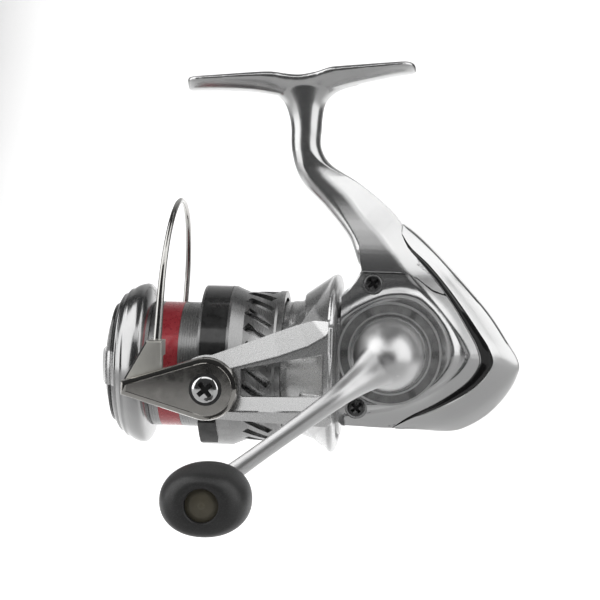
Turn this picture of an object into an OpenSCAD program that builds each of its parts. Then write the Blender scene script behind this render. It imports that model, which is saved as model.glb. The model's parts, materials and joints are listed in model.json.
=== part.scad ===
// Spinning reel for a rod of light to medium size, handle on the left.
// The part stands as it hangs under no rod: the rod seat is on top, the spool points to -X.
// Origin: middle of the rod seat. X runs back along the rotor axis, Y to the far side, Z up.

/* [Foot and stem] */
// Height of the rod seat above the rotor axis
seat_h = 83.5; // [82:0.5:85]
// Tilt of the rod seat against the rotor axis, in degrees
seat_tilt = 5; // [4:0.5:6]
// Distance of the crank axis behind the middle of the seat
crank_x = 27; // [26:0.5:28]
// Width of the foot
foot_w = 13; // [12:0.5:14]

/* [Gear case] */
// Half of the width of the case
case_half = 12.6; // [12.6:0.1:13.2]
// Thickness of the cover plates
plate_t = 1.8; // [1.6:0.1:1.9]
// Wall of the casting behind the covers
wall = 1.8; // [1.6:0.1:2]
// Front face of the case, from the crank axis
case_front = -13.6; // [-13.7:0.05:-13.5]

/* [Gears] */
// Height of the crank axis above the rotor axis
crank_rise = 6; // [6:0.05:6.1]
// Teeth of the face gear
face_teeth = 37; // [37:37]
// Teeth of the pinion
pinion_teeth = 7; // [7:7]
// Pitch radius of the pinion
pinion_r = 2.5; // [2.5:0.01:2.55]
// Teeth of the small spur on the drive tube
spur_teeth = 15; // [15:15]
// Teeth of the oscillation gear
cross_teeth = 33; // [33:33]
// Module of the oscillation pair
spur_module = 0.55; // [0.55:0.01:0.56]
// Travel of the main shaft and spool
stroke = 13; // [11:0.5:13]

/* [Rotor] */
// Radius of the rotor cup
cup_r = 18.4; // [18:0.1:18.6]
// Radius of the flare at the back of the rotor
flare_r = 24.5; // [24:0.1:25]
// Outer face of the rotor arms, from the axis
arm_face = 29.8; // [29.8:0.1:30.2]

/* [Bail] */
// Bail pivot in front of the crank axis
pivot_x = -48.2; // [-48.6:0.1:-48]
// Bail pivot height against the rotor axis
pivot_z = -3; // [-3.2:0.1:-2.8]
// Radius of the round end of the bail levers
lever_r = 8.5; // [8.3:0.1:8.8]
// Radius of the arch of the bail wire
arch_r = 25.5; // [25.3:0.1:25.8]
// Radius of the bail wire
wire_r = 0.9; // [0.8:0.05:1.1]

/* [Spool] */
// Radius of the spool lip
lip_r = 22.5; // [22.3:0.1:22.6]
// Radius of the line arbor
arbor_r = 17.5; // [17.3:0.1:17.6]
// Radius of the skirt collar
skirt_r = 22.4; // [22.3:0.1:22.6]
// Number of slanted ports in the skirt
port_count = 24; // [12:1:26]
// Lean of the ports against the rotor axis, in degrees
port_lean = -38; // [-45:1:45]

/* [Handle] */
// Reach of the crank, from its axis to the knob pin
crank_len = 53.4; // [50:0.2:54]
// Direction of the crank at rest, degrees above the front
crank_dir = -36.5; // [-60:0.5:60]
// Half width of the knob
knob_r = 11.2; // [10:0.1:11.6]
// Height of the knob as a share of its width
knob_flat = 0.79; // [0.75:0.01:0.9]

/* [Hidden] */
$fn = 64;
eps = 0.01;
gap = 0.05;          // running clearance on radius
seam = 0.15;         // visible seam between covers
plate_in = case_half - plate_t;
cross_dist = spur_module * (spur_teeth + cross_teeth) / 2;
cross_dir = 14;
cross_x = cross_dist * cos(cross_dir);
cross_z = crank_rise + cross_dist * sin(cross_dir);
pin_orbit = stroke / 2;
mesh_x = -pinion_r * face_teeth / pinion_teeth;
face_r = 16;
tube_r = 3.2;        // drive tube
shaft_r = 1.6;       // main shaft
slot_x = cross_x + pin_orbit;
dial_r = 14.2;       // outer rim of the dial
rotor_back = -14.5;
cup_front = -42;
arm_in = 25.3;
port_l = 9;          // ports in the skirt
port_w = 2.4;
lever_in = arm_face + 1;
lever_out = lever_in + 2.2;
eye_y = -46.2;       // middle of the crank arm at the knob pin
knob_in = -49.6;
knob_out = -78.2;

// Outlines, as [x, z] from the point of the rotor axis below the crank axis.
// The case with its rear cover, counter-clockwise from the lower front corner.
case_pts = [[case_front, -14.5], [0.9, -15.2], [18.6, -16.3], [22, -15], [26.9, -11.9],
  [30.4, -8.5], [34, -3.3], [35.9, 2.2], [32.6, 8.7], [27.1, 16.8], [19.9, 25.1],
  [12.1, 33.4], [2.8, 41.4], [-6, 40], [-9.2, 34.6], [-8.4, 28.4], [-11.3, 23],
  [case_front, 21.5]];
// Edge of the casting against the accent strip, from the top down.
inner_edge = [[4.2, 34.6], [9, 29.6], [12.8, 25.2], [17.8, 18.2], [21.2, 12.6],
  [23.6, 8.2], [24.8, 3.8], [22.4, -0.4], [19.2, -3.4], [15, -6.4], [10.8, -8.9],
  [5.9, -11.5]];
// Edge of the rear cover against the accent strip, from the top down.
outer_edge = [[5, 34.7], [9.9, 30.3], [14.9, 24.6], [19.6, 18.4], [23.8, 12.4],
  [26.6, 8.1], [28.1, 3.8], [25.2, -0.9], [21, -4.6], [15.8, -7.7], [10.8, -10.1],
  [6.2, -11.9]];
cover_tips = [[2.2, 38.5], [0.9, -15.2]];
casting_pts = concat([[case_front, -14.5], [case_front, 21.5], [-11.3, 23], [-8.4, 28.4],
  [-9.2, 34.6], [-6, 40], [2.2, 41]], [cover_tips[0]], inner_edge, [cover_tips[1]]);
rear_plate_pts = concat([[2.8, 41.4], cover_tips[0]], outer_edge, [cover_tips[1]],
  [for (i = [2:11]) case_pts[i]]);
// Everything above the seam of the side cover.
above_seam = [[-20, 27.9], [2.8, 27.9], [6.8, 26.9], [11.2, 23.6], [14.2, 22.5],
  [17, 22.1], [30, 22.1], [30, 60], [-20, 60]];
// Convex envelope that rounds off the case, and how far the crown reaches.
crown_pts = concat([[-40, -13.02]], [for (i = [2:12]) case_pts[i]], [[-40, 78.2]]);
crown_flat = 9;
crown_drop = 1.6;
// Raised rim round the dial, a rounded triangle.
rim_pts = [[-11.5, 17.5], [-5, 20.6], [2, 20.8], [8, 18.4], [14, 13.2], [18.6, 7.6],
  [20.2, 3.2], [18.2, -1], [12, -5.4], [5, -8.6], [-3, -9.6], [-11.5, -8.8]];
// The foot seen from the side, in the tilted frame of the seat.
foot_pts = [[-29.8, 0], [-9.4, 0], [-4.5, -0.9], [0.9, -1.5], [5, -1.1], [9.4, 0],
  [29.7, 0], [31.6, -1.2], [32.1, -3.2], [25, -3.7], [14.8, -5.3], [9, -6.6],
  [5.5, -8.6], [3.6, -12], [-3.9, -12], [-5.4, -9], [-9.2, -6.3], [-18.8, -4.5],
  [-31.3, -3.6], [-31, -1.2]];
// Stem sections: x, z, half length, half width, tilt.
stem_sections = [[-25.6, 76.2, 6.2, 6, 0], [-25.2, 70.5, 4.6, 5, 0],
  [-24.9, 62, 3.9, 4.5, 0], [-21.9, 54.6, 4.5, 4.8, -32], [-14.2, 48.4, 5.6, 6, -35],
  [-5.5, 39.6, 6.6, 9.2, -22], [-0.6, 31, 8, 11.4, -3]];
// Rotor arm seen from the side, with its window.
arm_pts = [[-47.8, 5.4], [-24.7, 14.2], [-20, 15.6], [-16, 15.6], [-16, -13],
  [-24, -12.6], [-48.2, -11.4]];
window_pts = [[-39.4, 2.3], [-17.1, 6.9], [-17.1, -4.9], [-39.4, -5.4]];
// Tip of the bail lever and the flat foot of the wire.
lever_tip = [[-71.1, -1.4], [-71.1, -5.2]];
foot_plate_pts = [[-71.1, -1.8], [-64.6, 9.4], [-60.2, 9.4], [-60.1, 0], [-62, -4.4],
  [-69.6, -4]];
holder_tip = [[-66.6, 2.4], [-66.2, -2.4]];
roller_at = [-65.5, -1.2];
wire_foot = [-62.4, 9];
wire_lean = 3.5;
arch_top = 46.2;
// Crank arm stations: distance from the axis, y, half width, half thickness.
crank_sections = [[0, -28, 4.6, 3.2], [7, -31.4, 3.5, 2.9], [14.5, -36.6, 2.9, 2.4],
  [26, -40, 2.5, 2.1], [40, -43, 2.3, 2], [crank_len, eye_y, 2.2, 2]];

function vunit(v) = v / norm(v);
function edge_normal(a, b) = vunit([a[1] - b[1], b[0] - a[0]]);
// A closed counter-clockwise outline moved inwards by d.
function inset(p, d) = [for (i = [0:len(p) - 1])
  let (n = len(p), a = p[(i + n - 1) % n], b = p[i], c = p[(i + 1) % n],
    m = edge_normal(a, b), k = edge_normal(b, c)) b + d * (m + k) / (1 + m * k)];
// Where the tangent from a point touches a circle, on the left or right side.
function tangent(c, r, p, side) = let (v = p - c, a = atan2(v[1], v[0])
  + side * acos(r / norm(v))) c + r * [cos(a), sin(a)];

module case_frame() { translate([crank_x, 0, -seat_h]) children(); }
module crank_axis() { case_frame() translate([0, 0, crank_rise]) children(); }
module at(p) { translate([p[0], 0, p[1]]) children(); }
module pivot_axis() { case_frame() at([pivot_x, pivot_z]) children(); }
module both_sides() {
  children();
  mirror([0, 1, 0]) children();
}
module slab(y0, y1) { translate([0, y1, 0]) rotate([90, 0, 0]) linear_extrude(y1 - y0) children(); }
module rod_x(x0, x1, r) { translate([x0, 0, 0]) rotate([0, 90, 0]) cylinder(h = x1 - x0, r = r); }
module rod_y(y0, y1, r) { translate([0, y0, 0]) rotate([-90, 0, 0]) cylinder(h = y1 - y0, r = r); }
module ring_x(x0, x1, r_out, r_in) {
  difference() {
    rod_x(x0, x1, r_out);
    rod_x(x0 - 1, x1 + 1, r_in);
  }
}
module ring_y(y0, y1, r_out, r_in) {
  difference() {
    rod_y(y0, y1, r_out);
    rod_y(y0 - 1, y1 + 1, r_in);
  }
}
// Revolved about the X axis from [x, r] points, or about Y from [y, r] points.
module lathe_x(p) { rotate([0, 90, 0]) rotate_extrude() polygon([for (q = p) [q[1], q[0]]]); }
module lathe_y(p) { rotate([-90, 0, 0]) rotate_extrude() polygon([for (q = p) [q[1], q[0]]]); }
// Part of a ring about X, from angle a0 to a1 above the near side.
module arc_x(x0, x1, r_out, r_in, a0, a1) {
  rotate([0, 90, 0]) rotate([0, 0, 270 - a1]) rotate_extrude(angle = a1 - a0)
    translate([r_in, x0]) square([r_out - r_in, x1 - x0]);
}
// Cross recess of a screw head whose face is at y on the near side.
module cross_recess(y, size) {
  for (a = [45, 135])
    rotate([0, a, 0]) translate([-size, y - 1, -size / 6]) cube([2 * size, 1.7, size / 3]);
}
// Screw along Y, its head towards -Y.
module screw(head_y, head_r, head_t, shank_r, end_y) {
  difference() {
    union() {
      rod_y(head_y, head_y + head_t, head_r);
      rod_y(head_y, end_y, shank_r);
    }
    cross_recess(head_y, head_r * 0.7);
  }
}
// Ball bearing parts on the X axis, from x0 to x1.
function ball_r(r_out, r_in) = (r_out - r_in) * 0.2;
module race(x0, x1, r_out, r_in, groove_mid, groove_r) {
  difference() {
    ring_x(x0, x1, r_out, r_in);
    translate([(x0 + x1) / 2, 0, 0]) rotate([0, 90, 0]) rotate_extrude()
      translate([groove_mid, 0]) circle(groove_r);
  }
}
module outer_race(x0, x1, r_out, r_in) {
  race(x0, x1, r_out, (r_out + r_in) / 2 + ball_r(r_out, r_in) / 2,
    (r_out + r_in) / 2, ball_r(r_out, r_in) + gap / 2);
}
module inner_race(x0, x1, r_out, r_in) {
  race(x0, x1, (r_out + r_in) / 2 - ball_r(r_out, r_in) / 2, r_in,
    (r_out + r_in) / 2, ball_r(r_out, r_in) + gap / 2);
}
module balls(x0, x1, r_out, r_in, count) {
  for (i = [0:count - 1])
    rotate([i * 360 / count, 0, 0]) translate([(x0 + x1) / 2, 0, (r_out + r_in) / 2])
      sphere(ball_r(r_out, r_in));
}
// Turns X-axis parts onto the Y axis.
module crown() {
  hull() {
    slab(-crown_flat, crown_flat) polygon(crown_pts);
    slab(-case_half - 1, case_half + 1) polygon(inset(crown_pts, crown_drop));
  }
}
module onto_y() { rotate([0, 0, 90]) children(); }
// Helical wire along X.
module coil(x0, x1, r, wire, turns) {
  sides = 8;
  steps = turns * 16;
  pts = [for (i = [0:steps], j = [0:sides - 1])
    let (a = 360 * turns * i / steps, b = 360 * j / sides, q = r + wire * cos(b))
      [x0 + wire + (x1 - x0 - 2 * wire) * i / steps + wire * sin(b), q * cos(a), q * sin(a)]];
  tube = [for (i = [0:steps - 1], j = [0:sides - 1])
    [i * sides + j, i * sides + (j + 1) % sides,
      (i + 1) * sides + (j + 1) % sides, (i + 1) * sides + j]];
  polyhedron(pts, concat(tube, [[for (j = [sides - 1:-1:0]) j]],
    [[for (j = [0:sides - 1]) steps * sides + j]]), convexity = 8);
}
// Toothed wheel outline: straight-sided teeth on a root circle.
module tooth_outline(teeth, r, addendum, dedendum, root_w, tip_w, phase) {
  circle(r - dedendum);
  for (i = [0:teeth - 1])
    rotate(phase + i * 360 / teeth)
      polygon([[r - dedendum - 0.15, -root_w / 2], [r + addendum, -tip_w / 2],
        [r + addendum, tip_w / 2], [r - dedendum - 0.15, root_w / 2]]);
}

// ---- Stationary pieces ----
module foot() {
  intersection() {
    slab(-foot_w / 2, foot_w / 2) polygon(foot_pts);
    translate([0, 0, -20]) linear_extrude(30) union() {
      translate([-26, -foot_w / 2]) square([52, foot_w]);
      for (s = [-1, 1])
        translate([s * 26, 0]) circle(foot_w / 2);
    }
  }
}
module stem_disc(s) {
  translate([s[0], 0, s[1]]) rotate([0, s[4], 0]) scale([s[2], s[3], 1])
    cylinder(h = 0.2, r = 1, center = true, $fn = 32);
}
module stem() {
  for (i = [0:len(stem_sections) - 2])
    hull() {
      stem_disc(stem_sections[i]);
      stem_disc(stem_sections[i + 1]);
    }
}
screw_spots = [[-5, 25], [-8.9, -9.4]];
rear_screw = [29.3, 7.5];
module neck() {
  difference() {
    rod_x(-18.2, case_front, 18.6);
    translate([-16, -20, -20]) cube([5, 5.7, 40]);
    translate([0, 0, crank_rise]) rod_y(-20, -plate_in, dial_r - 0.1);
  }
  rod_x(-24, case_front + 2, 10.5);
  rod_x(-24, -18, 12);
}
module body_frame() {
  color("silver") union() {
    rotate([0, -seat_tilt, 0]) foot();
    case_frame() {
      difference() {
        union() {
          stem();
          neck();
          intersection() {
            union() {
              slab(-plate_in, plate_in) union() {
                polygon(inset(case_pts, plate_t + 0.1));
                polygon(casting_pts);
              }
              slab(plate_in, case_half) polygon(casting_pts);
              slab(-case_half, -plate_in) intersection() {
                polygon(casting_pts);
                polygon(above_seam);
              }
            }
            crown();
          }
        }
        difference() {
          slab(-plate_in - eps, plate_in - wall) polygon(inset(case_pts, 2 * wall + 0.1));
          at(screw_spots[0]) rod_y(-plate_in, 12, 2.6);
          at(screw_spots[1]) rod_y(-plate_in, 0.8, 2.8);
          translate([-1, -4, -14]) cube([3.6, 3.8, 8.5]);
          translate([24.4, -4, -14]) cube([4, 3.8, 8.5]);
        }
        translate([0, 0, crank_rise]) rod_y(1, 6.4, face_r + 0.6);
        translate([0, 0, crank_rise]) rod_y(plate_in - wall - 2, 11.6, 6.5);
        translate([0, 0, crank_rise]) rod_y(8, 14, 4.4);
        rod_x(-24.1, -19.4, 7);
        rod_x(-20, -9, 4);
        at([0, -7.5]) translate([0, -2.05, 0]) rod_x(-0.4, 27.6, 0.9);
        for (p = screw_spots)
          at(p) rod_y(-plate_in - 4, -4, 1);
        for (a = [30, 150, 270])
          rotate([a, 0, 0]) translate([0, 0, 9]) rod_x(-24.1, -20, 0.8);
        at(rear_screw) rod_y(9.2, 13, 1);
      }
    }
  }
}
module side_cover() {
  color("silver") case_frame() difference() {
    union() {
      intersection() {
        slab(-case_half, -plate_in) difference() {
          polygon(casting_pts);
          translate([0, -seam]) polygon(above_seam);
        }
        crown();
      }
      slab(-case_half - 0.7, -case_half + 0.1) difference() {
        polygon(rim_pts);
        polygon(inset([for (i = [len(rim_pts) - 1:-1:0]) rim_pts[i]], 1.6));
      }
      translate([0, 0, crank_rise]) {
        rod_y(-14.4, -plate_in, dial_r - 0.2);
        rod_y(-plate_in - eps, -8.9, 8.2);
      }
      at([cross_x, cross_z]) rod_y(-plate_in - eps, -8.4, 3);
    }
    translate([0, 0, crank_rise]) {
      rod_y(-13.2, -8, 6.5);
      rod_y(-16, -8, 4.4);
    }
    at([cross_x, cross_z]) rod_y(-case_half + 0.6, -8, 1.5);
    for (p = screw_spots) {
      at(p) rod_y(-14, -plate_in + 1, 1.1);
      at(p) rod_y(-14, -case_half + 1, 2.7);
    }
  }
}
module cover_screws() {
  color([0.1, 0.1, 0.1]) case_frame() {
    for (p = screw_spots)
      at(p) screw(-case_half - 0.3, 2.55, 1.2, 0.95, -5);
    mirror([0, 1, 0]) at(rear_screw) screw(-case_half - 1.2, 2.3, 1.2, 0.95, -9.4);
  }
}
module rear_cover() {
  color([0.8, 0.8, 0.82]) case_frame() difference() {
    intersection() {
      union() {
        slab(-case_half, case_half) intersection() {
          difference() {
            polygon(case_pts);
            polygon(inset(case_pts, plate_t));
          }
          translate([3.4, -20]) square([40, 80]);
        }
        both_sides()
          slab(-case_half, -plate_in - eps) polygon(rear_plate_pts);
      }
      crown();
    }
    at(rear_screw) rod_y(8, 16, 1.05);
  }
}
module accent_strips() {
  color([0.03, 0.03, 0.03]) case_frame() both_sides()
    slab(-case_half - 0.2, -plate_in - eps)
      polygon(concat(inner_edge, [for (i = [len(outer_edge) - 1:-1:0]) outer_edge[i]]));
}
module dial_panel() {
  color([0.45, 0.45, 0.46]) crank_axis() difference() {
    ring_y(-15, -14.4, dial_r - 0.6, 11.4);
    for (i = [0:5])
      rotate([0, i * 60, 0]) translate([12.4, -15, 0]) cube([1.7, 0.5, 0.8], center = true);
  }
}
module dial_rims() {
  color([0.85, 0.85, 0.85]) crank_axis() {
    ring_y(-15.2, -14.4, dial_r, dial_r - 0.6);
    ring_y(-15.2, -14.4, 11.4, 10.9);
  }
}
module drive_bearing_races() {
  color([0.7, 0.7, 0.72]) crank_axis() onto_y() {
    outer_race(-13.2, -10.4, 6.5, tube_r);
    outer_race(8.8, 11.6, 6.5, tube_r);
  }
}
module drive_bearing_balls() {
  color([0.8, 0.8, 0.82]) crank_axis() onto_y() {
    balls(-13.2, -10.4, 6.5, tube_r, 9);
    balls(8.8, 11.6, 6.5, tube_r, 9);
  }
}
module drive_bearing_cones() {
  color([0.7, 0.7, 0.72]) crank_axis() onto_y() {
    inner_race(-13.2, -10.4, 6.5, tube_r);
    inner_race(8.8, 11.6, 6.5, tube_r);
  }
}
module pinion_bearing_race() { color([0.7, 0.7, 0.72]) case_frame() outer_race(-23.2, -19.4, 7, 3); }
module pinion_bearing_balls() { color([0.8, 0.8, 0.82]) case_frame() balls(-23.2, -19.4, 7, 3, 8); }
module pinion_bearing_cone() { color([0.7, 0.7, 0.72]) case_frame() inner_race(-23.2, -19.4, 7, 3); }
module clutch_housing() {
  color([0.15, 0.15, 0.16]) case_frame() difference() {
    union() {
      rod_x(-30.6, -24, 10.5);
      rod_x(-24.1, -23.2, 6.9);
    }
    rod_x(-29.9, -24.2, 7.4);
    rod_x(-31, -23, 5);
    for (a = [30, 150, 270])
      rotate([a, 0, 0]) translate([0, 0, 9]) rod_x(-31, -23, 0.85);
  }
}
module clutch_rollers() {
  color([0.75, 0.75, 0.78]) case_frame()
    for (a = [0:45:315])
      rotate([a, 0, 0]) translate([0, 0, 6.05]) rod_x(-29.7, -24.4, 1.28);
}
module clutch_screws() {
  color([0.6, 0.6, 0.62]) case_frame()
    for (a = [30, 150, 270])
      rotate([a, 0, 0]) translate([0, 0, 9]) {
        rod_x(-31.5, -30.6, 1.35);
        rod_x(-30.6, -20.2, 0.78);
      }
}
module brake_ring() { color([0.08, 0.08, 0.08]) case_frame() ring_x(-20.4, -18.2, 13, 12); }
module guide_rod() {
  color([0.75, 0.75, 0.78]) case_frame() at([0, -7.5]) translate([0, -2.05, 0])
    rod_x(-0.3, 27, 0.89);
}
module oscillation_axle() {
  color([0.65, 0.65, 0.68]) case_frame() at([cross_x, cross_z]) {
    rod_y(-case_half + 0.7, -6, 1.49);
    rod_y(-6, -5.6, 2.2);
  }
}

// ---- Crank side ----
module drive_gear() {
  color([0.75, 0.65, 0.45]) crank_axis() difference() {
    union() {
      rod_y(-13.4, 11.8, tube_r - 0.01);
      rod_y(3.4, 5.4, face_r);
      rod_y(1.9, 5.4, 4.3);
      for (i = [0:face_teeth - 1])
        rotate([0, i * 360 / face_teeth, 0])
          translate([mesh_x - 1.35, 2.35, -crank_rise - 0.3]) cube([2.7, 1.2, 0.6]);
    }
    rotate([-90, 30, 0]) translate([0, 0, -20]) cylinder(h = 40, r = 2.05, $fn = 6);
    for (i = [0:4])
      rotate([0, i * 72, 0]) translate([8.6, 0, 0]) rod_y(3, 6, 2.6);
  }
}
module drive_spur() {
  color([0.75, 0.75, 0.78]) crank_axis() slab(-8.2, -6.2) difference() {
    tooth_outline(spur_teeth, spur_module * spur_teeth / 2, 0.45, 0.65, 0.95, 0.38, cross_dir);
    circle(tube_r);
  }
}
module handle_shaft() {
  color([0.6, 0.6, 0.62]) crank_axis() difference() {
    union() {
      rotate([-90, 30, 0]) translate([0, 0, -27]) cylinder(h = 39.2, r = 2, $fn = 6);
      rod_y(-16.2, -13.6, 4);
    }
    rod_y(5, 13, 0.95);
  }
}
module cap_screw() {
  color([0.7, 0.7, 0.72]) crank_axis() difference() {
    union() {
      lathe_y([[12.8, 0], [12.8, 5.6], [14.6, 5.6], [15.4, 4.6], [15.6, 0]]);
      rod_y(6, 13, 0.93);
    }
    translate([-4, 15, -0.5]) cube([8, 2, 1]);
  }
}
module crank_boss() {
  color([0.78, 0.78, 0.78]) crank_axis() difference() {
    lathe_y([[-15.6, 2.1], [-15.6, 9.6], [-17, 9.8], [-22.6, 9], [-24.2, 7.6], [-24.6, 6.4],
      [-24.6, 2.1]]);
    rod_y(-16.3, -15, 4.1);
    translate([9.4, 0, 0]) rod_y(-20, -17, 0.9);
  }
}
module crank_disc(s) {
  rotate([0, crank_dir, 0]) translate([-s[0], s[1], 0]) scale([1, s[3], s[2]])
    sphere(1, $fn = 24);
}
module crank_arm() {
  color([0.8, 0.8, 0.82]) crank_axis() difference() {
    union() {
      lathe_y([[-24.6, 0], [-24.6, 6.3], [-27.5, 6.4], [-29.6, 5.6], [-31.2, 3.6], [-31.8, 0]]);
      for (i = [0:len(crank_sections) - 2])
        hull() {
          crank_disc(crank_sections[i]);
          crank_disc(crank_sections[i + 1]);
        }
      rotate([0, crank_dir, 0]) translate([-crank_len, 0, 0]) rod_y(-48.4, -44.2, 4);
    }
    rotate([-90, 30, 0]) translate([0, 0, -27.2]) cylinder(h = 10, r = 2.02, $fn = 6);
    rotate([0, crank_dir, 0]) translate([-crank_len, 0, 0]) rod_y(-52, -43, 1.6);
  }
}
module knob_frame() { crank_axis() rotate([0, crank_dir, 0]) translate([-crank_len, 0, 0]) rotate([0, -crank_dir, 0]) children(); }
module knob_pin() {
  color([0.7, 0.7, 0.72]) knob_frame() {
    rod_y(-48.4, -44.4, 1.58);
    rod_y(-75.4, -48.4, 1.9);
    rod_y(-49.2, -48.4, 3.2);
    rod_y(-76, -75.2, 3);
  }
}
module knob() {
  color([0.25, 0.25, 0.26]) knob_frame() difference() {
    scale([1, 1, knob_flat])
      lathe_y([[knob_in, 0], [knob_in, 5.6], [-52, 6.4], [-57, 8.2], [-62, 9.8], [-67, knob_r],
        [-72, knob_r], [-75, 9.9], [-77.2, 8.2], [knob_out, 6.2], [knob_out, 0]]);
    rod_y(-80, -48, 3.4);
    rod_y(-80, -75, 4.2);
  }
}
module knob_cap() { color([0.35, 0.34, 0.3]) knob_frame() lathe_y([[-77.4, 0], [-77, 3], [-76.6, 4.15], [-76.1, 4.15], [-76.1, 0]]); }
module knob_bushes() {
  color([0.8, 0.8, 0.75]) knob_frame() {
    ring_y(-53, -49.7, 3.38, 1.95);
    ring_y(-75, -71, 3.38, 1.95);
  }
}

// ---- Rotor ----
module arm_plate(windowed) {
  difference() {
    union() {
      slab(-arm_face, -arm_in) union() {
        polygon(arm_pts);
        translate([pivot_x, pivot_z]) circle(8.6);
      }
      hull() {
        translate([-24, -28.6, -11.6]) cube([9.2, 4, 25.6]);
        translate([-19, 0, 0]) rotate([0, 90, 0]) cylinder(h = 4.2, r = 22, $fn = 32);
      }
    }
    if (windowed)
      slab(-32, -19.2) polygon(window_pts);
    rod_x(-50, -13, 20.6);
  }
}
module rotor() {
  color([0.78, 0.78, 0.8]) case_frame() difference() {
    union() {
      lathe_x([[cup_front, 16.6], [cup_front, cup_r], [-27.4, cup_r], [-27.4, 18.7], [-25.4, 18.7],
        [-19, 20.9], [rotor_back, 21.4], [rotor_back, 20.2], [-19, 19.8], [-21.5, 17], [-33, 17],
        [-33, 5], [-31, 5], [-31, 3], [-36, 3], [-36, 16.6]]);
      difference() {
        translate([0, 0, flare_r - 22.7]) lathe_x([[-27, 17], [-16.4, flare_r], [rotor_back, 22],
          [rotor_back, 16], [-27, 16]]);
        rod_x(-28, -13, 20.6);
      }
      arm_plate(true);
      mirror([0, 1, 0]) arm_plate(false);
    }
    both_sides() at([pivot_x, pivot_z]) {
      rod_y(-arm_face - 1, -26.6, 4.56);
      rod_y(-27, -24, 2);
    }
    translate([-45, arm_in - 1, -3.5]) cube([22, 3.8, 4.6]);
  }
}
module pinion() {
  color([0.8, 0.7, 0.45]) case_frame() difference() {
    union() {
      rod_x(-42, -16.4, 2.98);
      rotate([0, 90, 0]) translate([0, 0, -16.4]) linear_extrude(6)
        tooth_outline(pinion_teeth, pinion_r, 0.5, 0.35, 1.1, 0.5, 180 / pinion_teeth + 90);
    }
    rod_x(-43, -9, shaft_r + gap);
  }
}
module clutch_sleeve() { color([0.7, 0.7, 0.72]) case_frame() ring_x(-30.6, -24.1, 4.74, 3); }
module rotor_nut() {
  color([0.6, 0.6, 0.62]) case_frame() difference() {
    translate([-39.6, 0, 0]) rotate([0, 90, 0]) cylinder(h = 3.5, r = 5.6, $fn = 6);
    rod_x(-41, -36, 3);
  }
}
module nut_retainer() {
  color([0.72, 0.72, 0.74]) case_frame() {
    difference() {
      union() {
        rod_x(-40.3, -39.7, 6.2);
        translate([-40.3, -1.6, 4]) cube([0.6, 3.2, 6]);
      }
      rod_x(-41, -39, 3.1);
      translate([0, 0, 8.4]) rod_x(-41, -39, 0.9);
    }
    translate([0, 0, 8.4]) {
      rod_x(-41.2, -40.3, 1.5);
      rod_x(-40.3, -36.1, 0.85);
    }
  }
}
module arm_covers() {
  color([0.7, 0.7, 0.72]) case_frame() translate([0, arm_in - 0.65, 0]) slab(0, 0.6)
    difference() {
      polygon([[-56, -7], [-56, 1], [-48, 5], [-24.4, 5], [-24.4, -8], [-50, -9]]);
      translate([pivot_x, pivot_z]) circle(2.1);
    }
}
module bail_spring() {
  color([0.75, 0.75, 0.78]) case_frame() translate([0, arm_in + 1.4, -1.2]) coil(-40, -24, 0.95, 0.27, 7);
}
module pivot_screws() {
  color([0.85, 0.85, 0.86]) pivot_axis() both_sides()
    screw(-lever_out - 1, 3.7, 1.1, 1.98, -25.4);
}
module pivot_collars() {
  color([0.03, 0.03, 0.03]) pivot_axis() both_sides()
    ring_y(-lever_out + 0.1, -lever_out + 1.6, 4.35, 2);
}

// ---- Bail ----
module lever_outline(r, tip) {
  c = [pivot_x, pivot_z];
  circle_points = [tangent(c, r, tip[0], -1), c, tangent(c, r, tip[1], 1)];
  polygon(concat([tip[0]], circle_points, [tip[1]]));
  translate(c) circle(r);
}
module lever(tip, r) {
  difference() {
    union() {
      slab(-lever_out, -lever_in) lever_outline(r, tip);
      at([pivot_x, pivot_z]) rod_y(-lever_in - eps, -26.8, 4.5);
    }
    at([pivot_x, pivot_z]) {
      rod_y(-lever_out - 1, -lever_out + 1.6, 4.4);
      rod_y(-lever_out - 1, -26, 2.03);
    }
    children();
  }
}
module bail_lever() {
  color([0.62, 0.6, 0.58]) case_frame() lever(lever_tip, lever_r)
    at(roller_at) rod_y(-lever_in - 1.2, -lever_in + 1, 1.2);
}
module bail_holder() {
  color([0.62, 0.6, 0.58]) case_frame() mirror([0, 1, 0]) {
    lever(holder_tip, lever_r - 0.6) translate([0, 0, 100]) sphere(1);
    slab(-lever_in, -28) polygon([[-66.6, 2.4], [-64.4, 8.6], [-60.4, 8.6], [-60, 0], [-66.2, -2.4]]);
  }
}
module bail_wire() {
  leg = (arch_top - wire_foot[1]) / cos(wire_lean) - arch_r;
  color([0.8, 0.8, 0.8]) case_frame() {
    at(wire_foot) rotate([0, wire_lean, 0]) {
      translate([0, 0, leg]) rotate([90, 0, 90]) rotate_extrude(angle = 180)
        translate([arch_r, 0]) circle(wire_r);
      for (s = [-1, 1])
        translate([0, s * arch_r, -0.6]) cylinder(h = leg + 0.6, r = wire_r);
    }
    difference() {
      union() {
        slab(-lever_in, -lever_in + 2.2) polygon(foot_plate_pts);
        translate([-64.4, -lever_in, 5.2]) cube([4.2, 6.4, 4.2]);
      }
      at(roller_at) rod_y(-lever_in - 1, -lever_in + 4, 1.2);
    }
    translate([-64.4, 24.3, 4.6]) cube([4.2, 3.7, 4.4]);
  }
}
module roller_pin() {
  color([0.7, 0.7, 0.72]) case_frame() at(roller_at) {
    rod_y(-lever_in - 1.2, -24.1, 1.19);
    rod_y(-24.1, -23.5, 2.2);
  }
}
module line_roller() {
  color([0.82, 0.8, 0.75]) case_frame() at(roller_at)
    lathe_y([[-28.4, 2], [-28.4, 3.6], [-27.7, 3.6], [-26.8, 2.8], [-25.6, 2.8], [-24.7, 3.4],
      [-24.25, 3.4], [-24.25, 2]]);
}
module roller_bush() { color([0.9, 0.9, 0.85]) case_frame() at(roller_at) ring_y(-28.4, -24.25, 2, 1.25); }

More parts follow.
